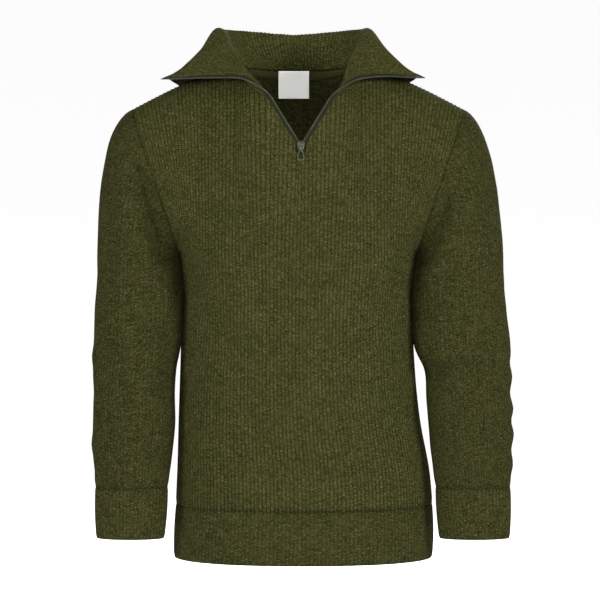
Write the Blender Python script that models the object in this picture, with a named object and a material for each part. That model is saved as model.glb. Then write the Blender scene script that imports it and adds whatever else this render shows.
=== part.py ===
"""Half-zip rib-knit pullover, filled out and hollow, with its collar folded down and its zip open.

Metres, +Z up. The front faces -Y, and the wearer's right is at -X. The origin lies between the
two points where the shoulder seams meet the neck, at their height. Pieces meet edge to edge
across seams, each cloth piece is a wall with raised ribs on the side that shows, and the zip's
pull tab is the one hard piece that swings.
"""

import math

import bmesh
import bpy
import numpy as np
from mathutils import Matrix, Vector

# Cloth
HALF_WALL = 0.0010  # half the wall between the ribs
RIB_RISE = 0.0012  # how far a rib stands over the cloth between the ribs
SEAM_GAP = 0.0004  # between two pieces that are sewn together
NECK_GAP = 0.0006  # the same at the neckline, where the seam turns
LAYER_GAP = 0.0003  # between two pieces that lie on each other

# Columns of the walls, two for each rib
HALF_PANEL = 64  # from the centre of the front or back to its side
HALF_NOTCH = 2  # from the centre to the corner of the zip's notch
ZIP_KNEE = 3  # where the slit's edge turns from the notch to the slope
ZIP_TOP = 12  # where the slit's edge meets the neckline
NECK_SIDE = 25  # where the neckline meets the shoulder seam
SLEEVE_COLUMNS = 96
PANEL_PLAIN = 8  # columns of the ribbed side to one of the plain inside
SLEEVE_PLAIN = 6
COLLAR_PLAIN = 4
UPPER_ROWS = 5  # rows from the underarm to the shoulder
SIDE_BLEND = 5  # columns over which a panel turns to its side seam or armhole

# Torso, mid-wall. Each row is a level with its half-width, sideways lean and depths.
TORSO_SQUARE = 2.3  # exponent of the torso's sections, 2 for an ellipse
TORSO = [
    # z, half_width, centre_x, front, back
    (-0.6153, 0.1780, 0.0086, 0.120, 0.118),
    (-0.5750, 0.1752, 0.0077, 0.122, 0.119),
    (-0.4970, 0.1670, 0.0018, 0.119, 0.113),
    (-0.4000, 0.1610, -0.0010, 0.115, 0.108),
    (-0.3100, 0.1590, -0.0005, 0.119, 0.110),
    (-0.2620, 0.1640, 0.0000, 0.123, 0.114),
]
HEM_BAND = [
    # z, half_width, centre_x, front, back
    (-0.6153, 0.1780, 0.0086, 0.120, 0.118),
    (-0.6500, 0.1790, 0.0082, 0.121, 0.119),
    (-0.6905, 0.1800, 0.0072, 0.123, 0.121),
]

# Shoulders and neck, mid-wall, given for the +X side
SHOULDER_TIP = (0.2300, 0.004, -0.0650)
NECK_POINT = (0.0850, 0.000, 0.0000)
SHOULDER_ARCH = 0.004  # how far the shoulder seam bows up
ARMHOLE_DEPTH = 0.068  # from the armhole's middle to its front or back edge
BACK_NECK_Y = 0.078
BACK_NECK_Z = -0.014
CENTRE_TURN = 40.0  # degrees that the front turns towards the shoulder at its centre
BACK_CENTRE_TURN = 62.0
ARMHOLE_BLEND = (0.55, 1.00)  # shares of the half-panel over which it comes to follow the armhole
NECK_LIFT = 0.72  # how steeply the cloth rises at the neckline, against
NECK_LEAN = 0.69  # how far it leans in towards the neck
FRONT_NECK_BEND = (0.0800, -0.0600, -0.0260)
BACK_NECK_FLAT = 0.0500  # how far the back neckline runs level from the centre
BACK_NECK_TURN = (0.0, 0.047, -0.006)  # its last control point from the neck point

# Opened slit for the zip
SLIT_CENTRE_X = 0.004
NOTCH_HALF = 0.0065
NOTCH_Z = -0.1145
NOTCH_Y = -0.1150
KNEE_HALF = 0.0075
KNEE_Z = -0.1035
KNEE_Y = -0.1128
SLIT_TOP_HALF = 0.0455
SLIT_TOP_Z = -0.0430
SLIT_TOP_Y = -0.0950

# Sleeves, outer faces of the two sides as distances from the centre plane
SLEEVE = {
    "right": [
        # z, inner, outer, centre_y, half_depth
        (-0.2900, 0.1650, 0.2805, -0.012, 0.0610),
        (-0.3450, 0.1642, 0.2840, -0.018, 0.0590),
        (-0.4000, 0.1670, 0.2855, -0.024, 0.0560),
        (-0.4500, 0.1722, 0.2862, -0.031, 0.0520),
        (-0.4980, 0.1712, 0.2863, -0.038, 0.0470),
        (-0.5440, 0.1758, 0.2863, -0.045, 0.0410),
        (-0.5870, 0.1814, 0.2828, -0.052, 0.0350),
    ],
    "left": [
        (-0.2900, 0.1640, 0.2870, -0.012, 0.0610),
        (-0.3450, 0.1645, 0.2915, -0.018, 0.0590),
        (-0.3920, 0.1662, 0.2965, -0.023, 0.0565),
        (-0.4240, 0.1765, 0.2974, -0.027, 0.0540),
        (-0.4720, 0.1795, 0.2980, -0.034, 0.0500),
        (-0.5300, 0.1848, 0.2992, -0.043, 0.0430),
        (-0.5870, 0.1918, 0.2964, -0.052, 0.0350),
    ],
}
CUFF = {
    "right": [
        (-0.5870, 0.1814, 0.2828, -0.052, 0.0350),
        (-0.6580, 0.1862, 0.2815, -0.061, 0.0270),
    ],
    "left": [
        (-0.5870, 0.1918, 0.2964, -0.052, 0.0350),
        (-0.6580, 0.1967, 0.2955, -0.061, 0.0270),
    ],
}
CAP_STEPS = (0.0, 0.13, 0.32, 0.62)  # where the sleeve head's rows lie on its way down
CAP_START_PULL = {"right": 0.62, "left": 0.54}  # how far the head runs on along the shoulder
CAP_END_PULL = 1.05

# Largest folds: lines seen from the front, each a soft ridge or, with its rise below 0, a trough
CREASES = {
    "front": [
        # facing, x1, z1, x2, z2, width, rise
        (-1, -0.160, -0.300, -0.098, -0.395, 0.020, -0.0035),
        (-1, -0.128, -0.290, -0.076, -0.352, 0.022, 0.0020),
        (-1, 0.158, -0.305, 0.100, -0.372, 0.020, -0.0035),
        (-1, 0.128, -0.268, 0.066, -0.316, 0.024, 0.0020),
    ],
    "back": [
        (1, -0.158, -0.310, -0.090, -0.405, 0.022, -0.0040),
        (1, 0.160, -0.295, 0.104, -0.390, 0.020, -0.0035),
        (1, 0.075, -0.200, 0.016, -0.262, 0.026, 0.0020),
    ],
    "sleeve_right": [
        (-1, -0.205, -0.175, -0.172, -0.300, 0.016, -0.0050),
        (-1, -0.236, -0.200, -0.196, -0.290, 0.018, 0.0030),
        (-1, -0.276, -0.396, -0.178, -0.412, 0.015, -0.0040),
        (-1, -0.270, -0.455, -0.200, -0.438, 0.018, 0.0030),
        (-1, -0.274, -0.540, -0.186, -0.548, 0.014, -0.0025),
        (1, -0.270, -0.330, -0.180, -0.400, 0.018, -0.0040),
        (1, -0.278, -0.450, -0.190, -0.500, 0.016, 0.0030),
    ],
    "sleeve_left": [
        (-1, 0.182, -0.245, 0.214, -0.134, 0.013, -0.0045),
        (-1, 0.186, -0.290, 0.250, -0.176, 0.015, 0.0045),
        (-1, 0.182, -0.345, 0.240, -0.215, 0.013, -0.0040),
        (-1, 0.176, -0.424, 0.236, -0.424, 0.017, -0.0075),
        (-1, 0.236, -0.424, 0.298, -0.432, 0.014, -0.0025),
        (-1, 0.190, -0.472, 0.296, -0.476, 0.016, 0.0025),
        (-1, 0.190, -0.526, 0.298, -0.534, 0.015, -0.0025),
        (1, 0.186, -0.380, 0.280, -0.330, 0.018, -0.0045),
        (1, 0.190, -0.430, 0.296, -0.410, 0.016, 0.0035),
    ],
}
CREASE_TURN = 1.6  # how fast a crease comes up as the cloth turns to the side that it is on

# Collar, mid-wall, for the -X side: a row for each station from the zip edge to the centre back
COLLAR_ROWS = 8
COLLAR_CENTRE_X = -0.007
COLLAR_TILT = 0.0010  # how far the collar's fall is raised at +X and lowered at -X
SLIT_SHARE = 0.30  # the share of each half that leans with the slit and not with the neck
COLLAR_STATIONS = [
    # share, stand_x, stand_y, stand_z, roll_x, roll_y, roll_z, fall_x, fall_y, fall_z, edge_x, edge_y, edge_z
    (0.00, -0.0505, -0.092, -0.034, -0.066, -0.084, -0.019, -0.113, -0.056, -0.0135, -0.182, -0.030, -0.0195),
    (0.14, -0.0640, -0.072, -0.018, -0.074, -0.063, -0.002, -0.120, -0.033, 0.0020, -0.178, -0.018, -0.0185),
    (0.28, -0.0780, -0.045, 0.002, -0.088, -0.037, 0.021, -0.124, -0.016, 0.0140, -0.173, -0.006, -0.0200),
    (0.46, -0.0890, -0.006, 0.027, -0.102, 0.006, 0.044, -0.129, 0.018, 0.0160, -0.165, 0.024, -0.0270),
    (0.70, -0.0820, 0.056, 0.021, -0.089, 0.074, 0.041, -0.111, 0.096, -0.0050, -0.126, 0.108, -0.0520),
    (1.00, 0.0000, 0.086, 0.015, 0.000, 0.101, 0.0325, 0.000, 0.119, -0.0125, 0.000, 0.130, -0.0630),
]

# Zip
TAPE_GAP = 0.0006  # from the cloth's edge, whose line turns at the neckline
TAPE_WIDTH = 0.0030
TAPE_HALF = 0.0005
COIL_RADIUS = 0.0012
ZIP_START = 0.14  # share of the slit's slope that the slider covers

# Slider, in its own frame: X across, Y up the slope, Z out of the cloth
SLIDER_TILT = 11.0  # degrees that the chest leans forwards
SLIDER_CENTRE_Y = -0.1139
SLIDER_CENTRE_Z = -0.1065
SLIDER_WIDTH = 0.0096
SLIDER_LENGTH = 0.0130
PLATE = 0.0011
CHANNEL = 0.0030
BRIDGE_WIDTH = 0.0018
BRIDGE_LENGTH = 0.0072
BRIDGE_RISE = 0.0036
BRIDGE_OPEN_LENGTH = 0.0044
BRIDGE_OPEN_RISE = 0.0024
POST_SIZE = (0.0030, 0.0042)
POST_UP = 0.0042  # from the slider's centre to the post's, up the slope
RAIL_SIZE = (0.0008, 0.0070)
RAIL_IN = 0.0006  # from the slider's side to the rail's centre
RAIL_UP = -0.0028
PIVOT_UP = -0.0009  # the tab's pivot from the slider's centre, up the slope
TAB_THICK = 0.0012
TAB_BAR = 0.0014
TAB_WINDOW = 0.0054  # from the pivot to the window's far end
TAB_WINDOW_WIDTH = 0.0030
TAB_NECK = 0.0058
TAB_WAIST = 0.0016  # from the window's far end to where the tab begins to widen
TAB_FOOT = 0.0104
TAB_FOOT_LENGTH = 0.0060
TAB_ROUND = 0.0033  # how far the rounded end reaches past the foot's sides
TAB_LENGTH = 0.0210

# Inside the back neck
NECK_TAPE_THICK = 0.0010
NECK_TAPE_START = 0.0012  # from the neck seam to the strip's upper edge
NECK_TAPE_DROP = 0.0120
NECK_TAPE_CELLS = 2  # cells of the plain inside on each side of the centre
LABEL_WIDTH = 0.0430
LABEL_HEIGHT = 0.0390
LABEL_THICK = 0.0008
LABEL_CENTRE_X = -0.0060
LABEL_TOP_Z = -0.0135

# Colours
OLIVE = (0.058, 0.060, 0.018)
DARK_OLIVE = (0.030, 0.033, 0.012)
COIL_GREY = (0.080, 0.085, 0.065)
METAL_GREY = (0.300, 0.310, 0.260)
LABEL_WHITE = (0.800, 0.810, 0.760)

BACKWARD = np.array((0.0, 1.0, 0.0))
UPWARD = np.array((0.0, 0.0, 1.0))


def unit(v):
    """Each vector along the last axis at length 1."""
    v = np.asarray(v, float)
    return v / np.maximum(np.linalg.norm(v, axis=-1, keepdims=True), 1e-12)


def smooth_step(t):
    t = np.clip(t, 0.0, 1.0)
    return t * t * (3.0 - 2.0 * t)


def even(points, count):
    """The polyline at count + 1 places, equally far apart along it."""
    points = np.asarray(points, float)
    run = np.concatenate([[0.0], np.cumsum(np.linalg.norm(np.diff(points, axis=0), axis=1))])
    wanted = np.linspace(0.0, run[-1], count + 1)
    return np.stack([np.interp(wanted, run, points[:, k]) for k in range(3)], axis=1)


def bezier(controls, count):
    """Points at count + 1 equal distances on the Bezier curve of these control points."""
    t = np.linspace(0.0, 1.0, 160)[:, None]
    points = [np.asarray(c, float) * np.ones((160, 1)) for c in controls]
    while len(points) > 1:
        points = [a + (b - a) * t for a, b in zip(points, points[1:])]
    return even(points[0], count)


def through(keys, values, at):
    """A smooth curve through values at their keys, read at other places."""
    keys = np.asarray(keys, float)
    values = np.asarray(values, float)
    slopes = np.gradient(values, keys, axis=0)
    out = []
    for t in np.atleast_1d(at):
        k = int(np.clip(np.searchsorted(keys, t, side="right") - 1, 0, len(keys) - 2))
        step = keys[k + 1] - keys[k]
        s = (t - keys[k]) / step
        out.append(
            (2 * s**3 - 3 * s**2 + 1) * values[k]
            + (s**3 - 2 * s**2 + s) * step * slopes[k]
            + (3 * s**2 - 2 * s**3) * values[k + 1]
            + (s**3 - s**2) * step * slopes[k + 1]
        )
    return np.array(out)


def mirrored(point, side):
    """A point given for the +X side, on the side asked for."""
    return np.array((side * point[0], point[1], point[2]))


def torso_section(row, face):
    """Half a torso section from the -X side to the +X side, over the front or the back."""
    z, half_width, centre_x, front, back = row
    depth = front if face < 0 else back
    turn = np.linspace(-math.pi / 2, math.pi / 2, 361)
    power = 2.0 / TORSO_SQUARE
    x = centre_x + half_width * np.sign(np.sin(turn)) * np.abs(np.sin(turn)) ** power
    y = face * depth * np.abs(np.cos(turn)) ** power
    points = np.stack([x, y, np.full_like(x, z)], axis=1)
    return even(points, 2 * HALF_PANEL)


UNDERARM = (TORSO[-1][1], 0.0, TORSO[-1][0])


def armhole_frame(side):
    """Middle, up and outward directions and half-height of the armhole's plane."""
    low = mirrored(UNDERARM, side)
    high = mirrored(SHOULDER_TIP, side)
    up = unit((high - low) * (1.0, 0.0, 1.0))
    outward = np.array((side * up[2], 0.0, -side * up[0]))
    return (low + high) / 2, up, outward, np.linalg.norm(high - low) / 2


def shoulder_seam(side):
    """From the neck point to the shoulder tip."""
    t = np.linspace(0.0, 1.0, HALF_PANEL - NECK_SIDE + 1)[:, None]
    line = mirrored(NECK_POINT, side) * (1 - t) + mirrored(SHOULDER_TIP, side) * t
    return line + UPWARD * SHOULDER_ARCH * np.sin(math.pi * t)


def front_neckline(side):
    """From the top of the slit to the neck point."""
    low = (SLIT_CENTRE_X + side * SLIT_TOP_HALF, SLIT_TOP_Y, SLIT_TOP_Z)
    bend = mirrored(FRONT_NECK_BEND, side)
    return bezier([low, bend, mirrored(NECK_POINT, side)], NECK_SIDE - ZIP_TOP)


def slit_edge(side):
    """From the notch's middle over its corner and the knee up to the neckline."""
    middle = np.array((SLIT_CENTRE_X, NOTCH_Y, NOTCH_Z))
    corner = np.array((SLIT_CENTRE_X + side * NOTCH_HALF, NOTCH_Y, NOTCH_Z))
    knee = np.array((SLIT_CENTRE_X + side * KNEE_HALF, KNEE_Y, KNEE_Z))
    top = np.array((SLIT_CENTRE_X + side * SLIT_TOP_HALF, SLIT_TOP_Y, SLIT_TOP_Z))
    floor = [middle + (corner - middle) * k / HALF_NOTCH for k in range(HALF_NOTCH + 1)]
    return np.array(floor + list(even([knee, top], ZIP_TOP - ZIP_KNEE)))


def back_neckline(side):
    """From the centre back to the neck point."""
    neck = mirrored(NECK_POINT, side)
    centre = np.array((0.0, BACK_NECK_Y, BACK_NECK_Z))
    level_end = mirrored((BACK_NECK_FLAT, BACK_NECK_Y, BACK_NECK_Z), side)
    return bezier([centre, level_end, neck + BACK_NECK_TURN, neck], NECK_SIDE)


def top_edge(face):
    """A panel's top edge from the -X shoulder tip to the +X one."""
    halves = []
    for side in (-1, 1):
        if face < 0:
            middle = np.concatenate([slit_edge(side), front_neckline(side)[1:]])
        else:
            middle = back_neckline(side)
        halves.append(np.concatenate([middle, shoulder_seam(side)[1:]]))
    return np.concatenate([halves[0][::-1], halves[1][1:]])


def upper_row(base, top, share, face):
    """One row between the underarm and the top edge, at this share of the way up."""
    f = np.linspace(-1.0, 1.0, 2 * HALF_PANEL + 1)
    centre_turn = math.radians(CENTRE_TURN if face < 0 else BACK_CENTRE_TURN)
    neck = NECK_SIDE / HALF_PANEL
    full = centre_turn + (math.pi / 2 - centre_turn) * smooth_step(np.abs(f) / neck)
    turn = share * full
    over = ((1 - np.cos(turn)) / (1 - np.cos(full)))[:, None]
    up = (np.sin(turn) / np.sin(full))[:, None]
    arch = base + (top - base) * (0.0, 1.0, 0.0) * over + (top - base) * (1.0, 0.0, 1.0) * up
    loop = base + (top - base) * (1 - math.cos(math.pi * share)) / 2
    loop = loop + BACKWARD * face * ARMHOLE_DEPTH * math.sin(math.pi * share)
    start, end = ARMHOLE_BLEND
    weight = smooth_step((np.abs(f) - start) / (end - start))[:, None]
    return arch * (1 - weight) + loop * weight


def panel_points(face):
    """The front or back panel's mid-wall points, rows upwards and columns from -X to +X."""
    rows = [torso_section(row, face) for row in TORSO]
    top = top_edge(face)
    base = rows[-1]
    rows += [upper_row(base, top, k / UPPER_ROWS, face) for k in range(1, UPPER_ROWS + 1)]
    return np.array(rows)


def surface_normals(points, outward):
    """Normals of a grid of points, turned to the side where outward(point) leads."""
    along = np.gradient(points, axis=1)
    up = np.gradient(points, axis=0)
    normals = unit(np.cross(along, up))
    middle = points.shape[0] // 2, points.shape[1] // 2
    if np.dot(normals[middle], outward) < 0:
        normals = -normals
    return normals


def creased(points, normals, name):
    """The points moved along their normals by the piece's creases, its edges left in place."""
    moved = points.copy()
    for facing, x1, z1, x2, z2, width, rise in CREASES[name]:
        start = np.array((x1, z1))
        line = np.array((x2, z2)) - start
        flat = points[..., (0, 2)] - start
        share = np.clip(flat @ line / (line @ line), 0.0, 1.0)
        away = np.linalg.norm(flat - share[..., None] * line, axis=-1)
        seen = np.clip(normals[..., 1] * facing * CREASE_TURN, 0.0, 1.0)
        height = rise * np.exp(-((away / width) ** 2)) * seen
        moved += normals * height[..., None]
    moved[0] = points[0]
    moved[-1] = points[-1]
    return moved


def armhole_normal(side, share, face):
    """The direction across the wall on the armhole, straight out from its middle."""
    _, up, _, half_height = armhole_frame(side)
    turn = math.pi * (1 - share)
    normal = math.cos(turn) / half_height * up
    normal = normal + math.sin(turn) / ARMHOLE_DEPTH * face * BACKWARD
    return unit(normal)


def neck_directions(edge):
    """For points on the neckline: across the wall, and on from the panel into the collar."""
    along = unit(np.gradient(edge, axis=0))
    away = unit(np.cross(along, UPWARD))
    if np.dot(away[len(away) // 2], edge[len(edge) // 2] * (1.0, 1.0, 0.0)) < 0:
        away = -away
    on = unit(UPWARD * NECK_LIFT - away * NECK_LEAN)
    on = unit(on - along * np.sum(on * along, axis=1, keepdims=True))
    across = unit(np.cross(along, on))
    turned = np.sum(across * away, axis=1, keepdims=True) < 0
    return np.where(turned, -across, across), on


def make_panel(face):
    """Points and normals of the front or back, with its edges drawn back from the seams."""
    points = panel_points(face)
    normals = surface_normals(points, face * BACKWARD)
    inner = slice(SIDE_BLEND, -SIDE_BLEND)
    moved = creased(points, normals, "front" if face < 0 else "back")
    points[:, inner] = moved[:, inner]
    lower = len(TORSO) - 1
    top = len(points) - 1
    shift = np.zeros_like(points)
    for side, edge, step in ((-1, 0, 1), (1, 2 * HALF_PANEL, -1)):
        seam = np.zeros((top + 1, 3))
        seam[:lower] = (side, 0.0, 0.0)
        shift[:lower, edge] += face * BACKWARD * SEAM_GAP / 2
        _, _, outward, _ = armhole_frame(side)
        for row in range(lower, top + 1):
            seam[row] = armhole_normal(side, (row - lower) / UPPER_ROWS, face)
            shift[row, edge] -= outward * SEAM_GAP / 2
        shift[lower, edge] += face * BACKWARD * SEAM_GAP / 2
        for k in range(SIDE_BLEND):
            weight = 1 - smooth_step(k / SIDE_BLEND)
            column = edge + step * k
            normals[:, column] = unit(normals[:, column] * (1 - weight) + seam * weight)
        ridge = slice(1, HALF_PANEL - NECK_SIDE + 1)
        if side > 0:
            ridge = slice(HALF_PANEL + NECK_SIDE, -1)
        along = unit(np.gradient(points[top, ridge], axis=0))
        over = np.cross(along, BACKWARD)
        normals[top, ridge] = unit(over * np.sign(over[:, 2:]))
        shift[top, ridge] += face * BACKWARD * SEAM_GAP / 2
        shift[top, edge] += face * BACKWARD * SEAM_GAP / 2
    return points, normals, shift


def neck_columns(face, side):
    """The panel columns along one half of the neckline, from its front or centre outwards."""
    first = ZIP_TOP if face < 0 else 0
    return [HALF_PANEL + side * k for k in range(first, NECK_SIDE + 1)]


def neck_ring(front, back):
    """The whole neckline from the -X top of the slit round the back to the +X one."""
    pieces = [front[-1, neck_columns(-1, -1)]]
    pieces.append(back[-1, neck_columns(1, -1)][::-1][1:])
    pieces.append(back[-1, neck_columns(1, 1)][1:])
    pieces.append(front[-1, neck_columns(-1, 1)][::-1][1:])
    return np.concatenate(pieces)


def fit_neckline(front, back, ring):
    """Give both panels the neckline's own directions, and draw them back from the collar."""
    across, on = neck_directions(ring)
    front_count = NECK_SIDE - ZIP_TOP + 1
    back_count = 2 * NECK_SIDE + 1
    spans = [
        (front, neck_columns(-1, -1), 0),
        (back, neck_columns(1, -1)[::-1] + neck_columns(1, 1)[1:], front_count - 1),
        (front, neck_columns(-1, 1)[::-1], front_count + back_count - 2),
    ]
    for (_, normals, shift), columns, first in spans:
        for k, column in enumerate(columns):
            normals[-1, column] = across[first + k]
            shift[-1, column] -= on[first + k] * NECK_GAP / 2
    return across, on


def fill_strip(bm, fine, plain):
    """Triangles between a fine row of corners and a plain row with fewer."""
    cells = len(plain) - 1
    step = (len(fine) - 1) // cells
    for cell in range(cells):
        half = cell * step + step // 2
        for k in range(cell * step, (cell + 1) * step):
            near = plain[cell] if k < half else plain[cell + 1]
            bm.faces.new((fine[k], fine[k + 1], near))
        bm.faces.new((plain[cell], plain[cell + 1], fine[half]))


def material(name, colour, roughness, metallic=0.0):
    made = bpy.data.materials.get(name) or bpy.data.materials.new(name)
    made.use_nodes = True
    shader = made.node_tree.nodes["Principled BSDF"]
    shader.inputs["Base Color"].default_value = (*colour, 1.0)
    shader.inputs["Roughness"].default_value = roughness
    shader.inputs["Metallic"].default_value = metallic
    return made


def add_object(name, bm, finish):
    bmesh.ops.recalc_face_normals(bm, faces=bm.faces)
    if bm.calc_volume(signed=True) < 0:
        bmesh.ops.reverse_faces(bm, faces=bm.faces)
    mesh = bpy.data.meshes.new(name)
    bm.to_mesh(mesh)
    bm.free()
    made = bpy.data.objects.new(name, mesh)
    made.data.materials.append(finish)
    bpy.context.scene.collection.children["pullover"].objects.link(made)
    return made


def wall(name, mid, across, rib, plain_step, finish, closed=False, ribs_outside=True, curved_row=None):
    """A closed cloth wall round mid-wall points, ribs raised on one side and plain on the other.

    The plain side has every column along curved_row, so that a curved seam there stays true.
    """
    lift = 1.0 if ribs_outside else -1.0
    ribbed = mid + across * lift * (HALF_WALL + rib[..., None])
    inside = mid - across * lift * HALF_WALL
    bm = bmesh.new()

    def corners(row):
        made = [bm.verts.new(p) for p in row]
        return made + [made[0]] if closed else made

    def fill(low, high):
        if len(low) == len(high):
            for k in range(len(low) - 1):
                bm.faces.new((low[k], low[k + 1], high[k + 1], high[k]))
        elif len(low) > len(high):
            fill_strip(bm, low, high)
        else:
            fill_strip(bm, high, low)

    last = len(mid) - 1
    fine = [corners(row) for row in ribbed]
    plain = [corners(row if k == curved_row else row[::plain_step]) for k, row in enumerate(inside)]
    for grid in (fine, plain):
        for low, high in zip(grid, grid[1:]):
            fill(low, high)
    for row in (0, last):
        fill(fine[row], plain[row])
    if not closed:
        for end in (0, -1):
            for k in range(len(fine) - 1):
                bm.faces.new((fine[k][end], fine[k + 1][end], plain[k + 1][end], plain[k][end]))
    bmesh.ops.triangulate(bm, faces=bm.faces)
    return add_object(name, bm, finish)


def rib_pattern(rows, columns):
    """Rib heights: every other column stands up."""
    heights = np.where(np.arange(columns) % 2 == 1, RIB_RISE, 0.0)
    return np.tile(heights, (rows, 1))


def build_hem(face, name, finish):
    """One half of the hem band, sewn on under the front or back."""
    points = np.array([torso_section(row, face) for row in HEM_BAND])
    normals = surface_normals(points, face * BACKWARD)
    shift = np.zeros_like(points)
    shift[0] -= UPWARD * SEAM_GAP / 2
    for side, edge in ((-1, 0), (1, -1)):
        normals[:, edge] = (side, 0.0, 0.0)
        shift[:, edge] += face * BACKWARD * SEAM_GAP / 2
    normals[0] = level(normals[0])
    rib = rib_pattern(*points.shape[:2])
    return wall(name, points + shift, normals, rib, PANEL_PLAIN, finish)


def level(normals):
    """The same directions without their upward part."""
    return unit(normals * (1.0, 1.0, 0.0))


def ring(row, side, count):
    """A level section of a sleeve or cuff, from its inner side over the front."""
    z, inner, outer, centre_y, half_depth = row
    relief = HALF_WALL + RIB_RISE / 2
    centre = (inner + outer) / 2
    half_width = (outer - inner) / 2 - relief
    turn = np.linspace(0.0, 2 * math.pi, 721)
    x = side * (centre - half_width * np.cos(turn))
    y = centre_y - half_depth * np.sin(turn)
    return even(np.stack([x, y, np.full_like(x, z)], axis=1), count)[:-1]


def armhole_ring(front, back, side, count):
    """Points and directions round the armhole on the panels' own edges, from the underarm."""
    edge = 0 if side < 0 else -1
    lower = len(TORSO) - 1
    corners = [(front[0][row, edge], front[1][row, edge]) for row in range(lower, len(front[0]))]
    corners += [(back[0][row, edge], back[1][row, edge]) for row in range(len(back[0]) - 2, lower - 1, -1)]
    places = np.array([c[0] for c in corners])
    across = np.array([c[1] for c in corners])
    run = np.concatenate([[0.0], np.cumsum(np.linalg.norm(np.diff(places, axis=0), axis=1))])
    at = np.round(run / run[-1] * count)
    wanted = np.arange(count)
    mid = np.stack([np.interp(wanted, at, places[:, k]) for k in range(3)], axis=1)
    out = np.stack([np.interp(wanted, at, across[:, k]) for k in range(3)], axis=1)
    return mid, out


def closed_normals(rows, side):
    """Normals of a tube's rows, pointing away from its axis."""
    along = (np.roll(rows, -1, axis=1) - np.roll(rows, 1, axis=1)) / 2
    up = np.gradient(rows, axis=0)
    normals = unit(np.cross(along, up))
    outermost = rows.shape[1] // 2
    if normals[-1, outermost, 0] * side < 0:
        normals = -normals
    return normals


def build_sleeve(side, front, back, finish):
    """A set-in sleeve: from the armhole over its head, then ring by ring to the cuff seam."""
    name = "right" if side < 0 else "left"
    start, start_across = armhole_ring(front, back, side, SLEEVE_COLUMNS)
    rings = [ring(row, side, SLEEVE_COLUMNS) for row in SLEEVE[name]]
    _, _, outward, _ = armhole_frame(side)
    way = np.linalg.norm(rings[0] - start, axis=1)[:, None]
    leave = outward * way * CAP_START_PULL[name]
    arrive = -UPWARD * way * CAP_END_PULL
    head = []
    for t in CAP_STEPS:
        head.append(
            (2 * t**3 - 3 * t**2 + 1) * start
            + (t**3 - 2 * t**2 + t) * leave
            + (3 * t**2 - 2 * t**3) * rings[0]
            + (t**3 - t**2) * arrive
        )
    points = np.array(head + rings)
    points = creased(points, closed_normals(points, side), "sleeve_" + name)
    normals = closed_normals(points, side)
    normals[0] = start_across
    normals[-1] = level(normals[-1])
    points[0] += outward * SEAM_GAP / 2
    points[-1] += UPWARD * SEAM_GAP / 2
    rib = rib_pattern(*points.shape[:2])
    wall("sleeve_" + name, points, normals, rib, SLEEVE_PLAIN, finish, closed=True)
    return normals[-1]


def build_cuff(side, seam_normals, finish):
    name = "right" if side < 0 else "left"
    points = np.array([ring(row, side, SLEEVE_COLUMNS) for row in CUFF[name]])
    normals = closed_normals(points, side)
    normals[0] = seam_normals
    points[0] -= UPWARD * SEAM_GAP / 2
    rib = rib_pattern(*points.shape[:2])
    return wall("cuff_" + name, points, normals, rib, SLEEVE_PLAIN, finish, closed=True)


def collar_points(seam):
    """The collar's mid-wall points: rows from the neck seam to the free edge."""
    table = np.array(COLLAR_STATIONS)
    half = (len(seam) - 1) // 2
    share = np.concatenate([np.linspace(0.0, 1.0, half + 1), np.linspace(1.0, 0.0, half + 1)[1:]])
    side = np.where(np.arange(len(seam)) <= half, 1.0, -1.0)
    near_slit = 1 - smooth_step(share / SLIT_SHARE)
    guides = [seam]
    for first, follows_slit in ((1, 1.0), (4, 1.0), (7, 0.0), (10, 0.0)):
        guide = through(table[:, 0], table[:, first : first + 3], share)
        lean = COLLAR_CENTRE_X + (SLIT_CENTRE_X - COLLAR_CENTRE_X) * near_slit * follows_slit
        guide[:, 0] = guide[:, 0] * side + lean
        guide[:, 2] -= side * COLLAR_TILT * (1 - follows_slit)
        guides.append(guide)
    guides = np.array(guides)
    rows = []
    for column in range(len(seam)):
        line = guides[:, column]
        keys = np.concatenate([[0.0], np.cumsum(np.linalg.norm(np.diff(line, axis=0), axis=1))])
        fine = through(keys, line, np.linspace(0.0, keys[-1], 60))
        rows.append(even(fine, COLLAR_ROWS))
    return np.array(rows).transpose(1, 0, 2)


def build_collar(seam, across, on, finish):
    """The collar, ribbed on the side that lies next to the neck and shows where it is turned out."""
    points = collar_points(seam)
    normals = surface_normals(points, UPWARD)
    centre = points.shape[1] // 2
    if normals[1, centre, 1] < 0:
        normals = -normals
    normals[0] = across
    points[0] += on * NECK_GAP / 2
    rib = rib_pattern(*points.shape[:2])
    wall("collar", points, normals, rib, COLLAR_PLAIN, finish, ribs_outside=False, curved_row=0)
    return points, normals


def zip_route(side, front, collar):
    """The cloth edge that one zip tape is sewn to: places, directions across and on past it."""
    points, normals = front[0], front[1]
    columns = [HALF_PANEL + side * k for k in range(ZIP_KNEE, ZIP_TOP + 1)]
    slit = points[-1, columns]
    slit_across = normals[-1, columns]
    knee = slit[0] + (slit[1] - slit[0]) * ZIP_START * (ZIP_TOP - ZIP_KNEE)
    slit = np.concatenate([[knee], slit[2:-1]])
    slit_across = np.concatenate([[slit_across[1]], slit_across[2:-1]])
    column, inner = (0, 1) if side < 0 else (-1, -2)
    edge = collar[0][1:, column]
    places = np.concatenate([slit, edge])
    across = np.concatenate([slit_across, collar[1][1:, column]])
    along = unit(np.gradient(places, axis=0))
    on = unit(np.cross(along, across))
    if on[0, 0] * side > 0:
        on = -on
    return places, across, on


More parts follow.
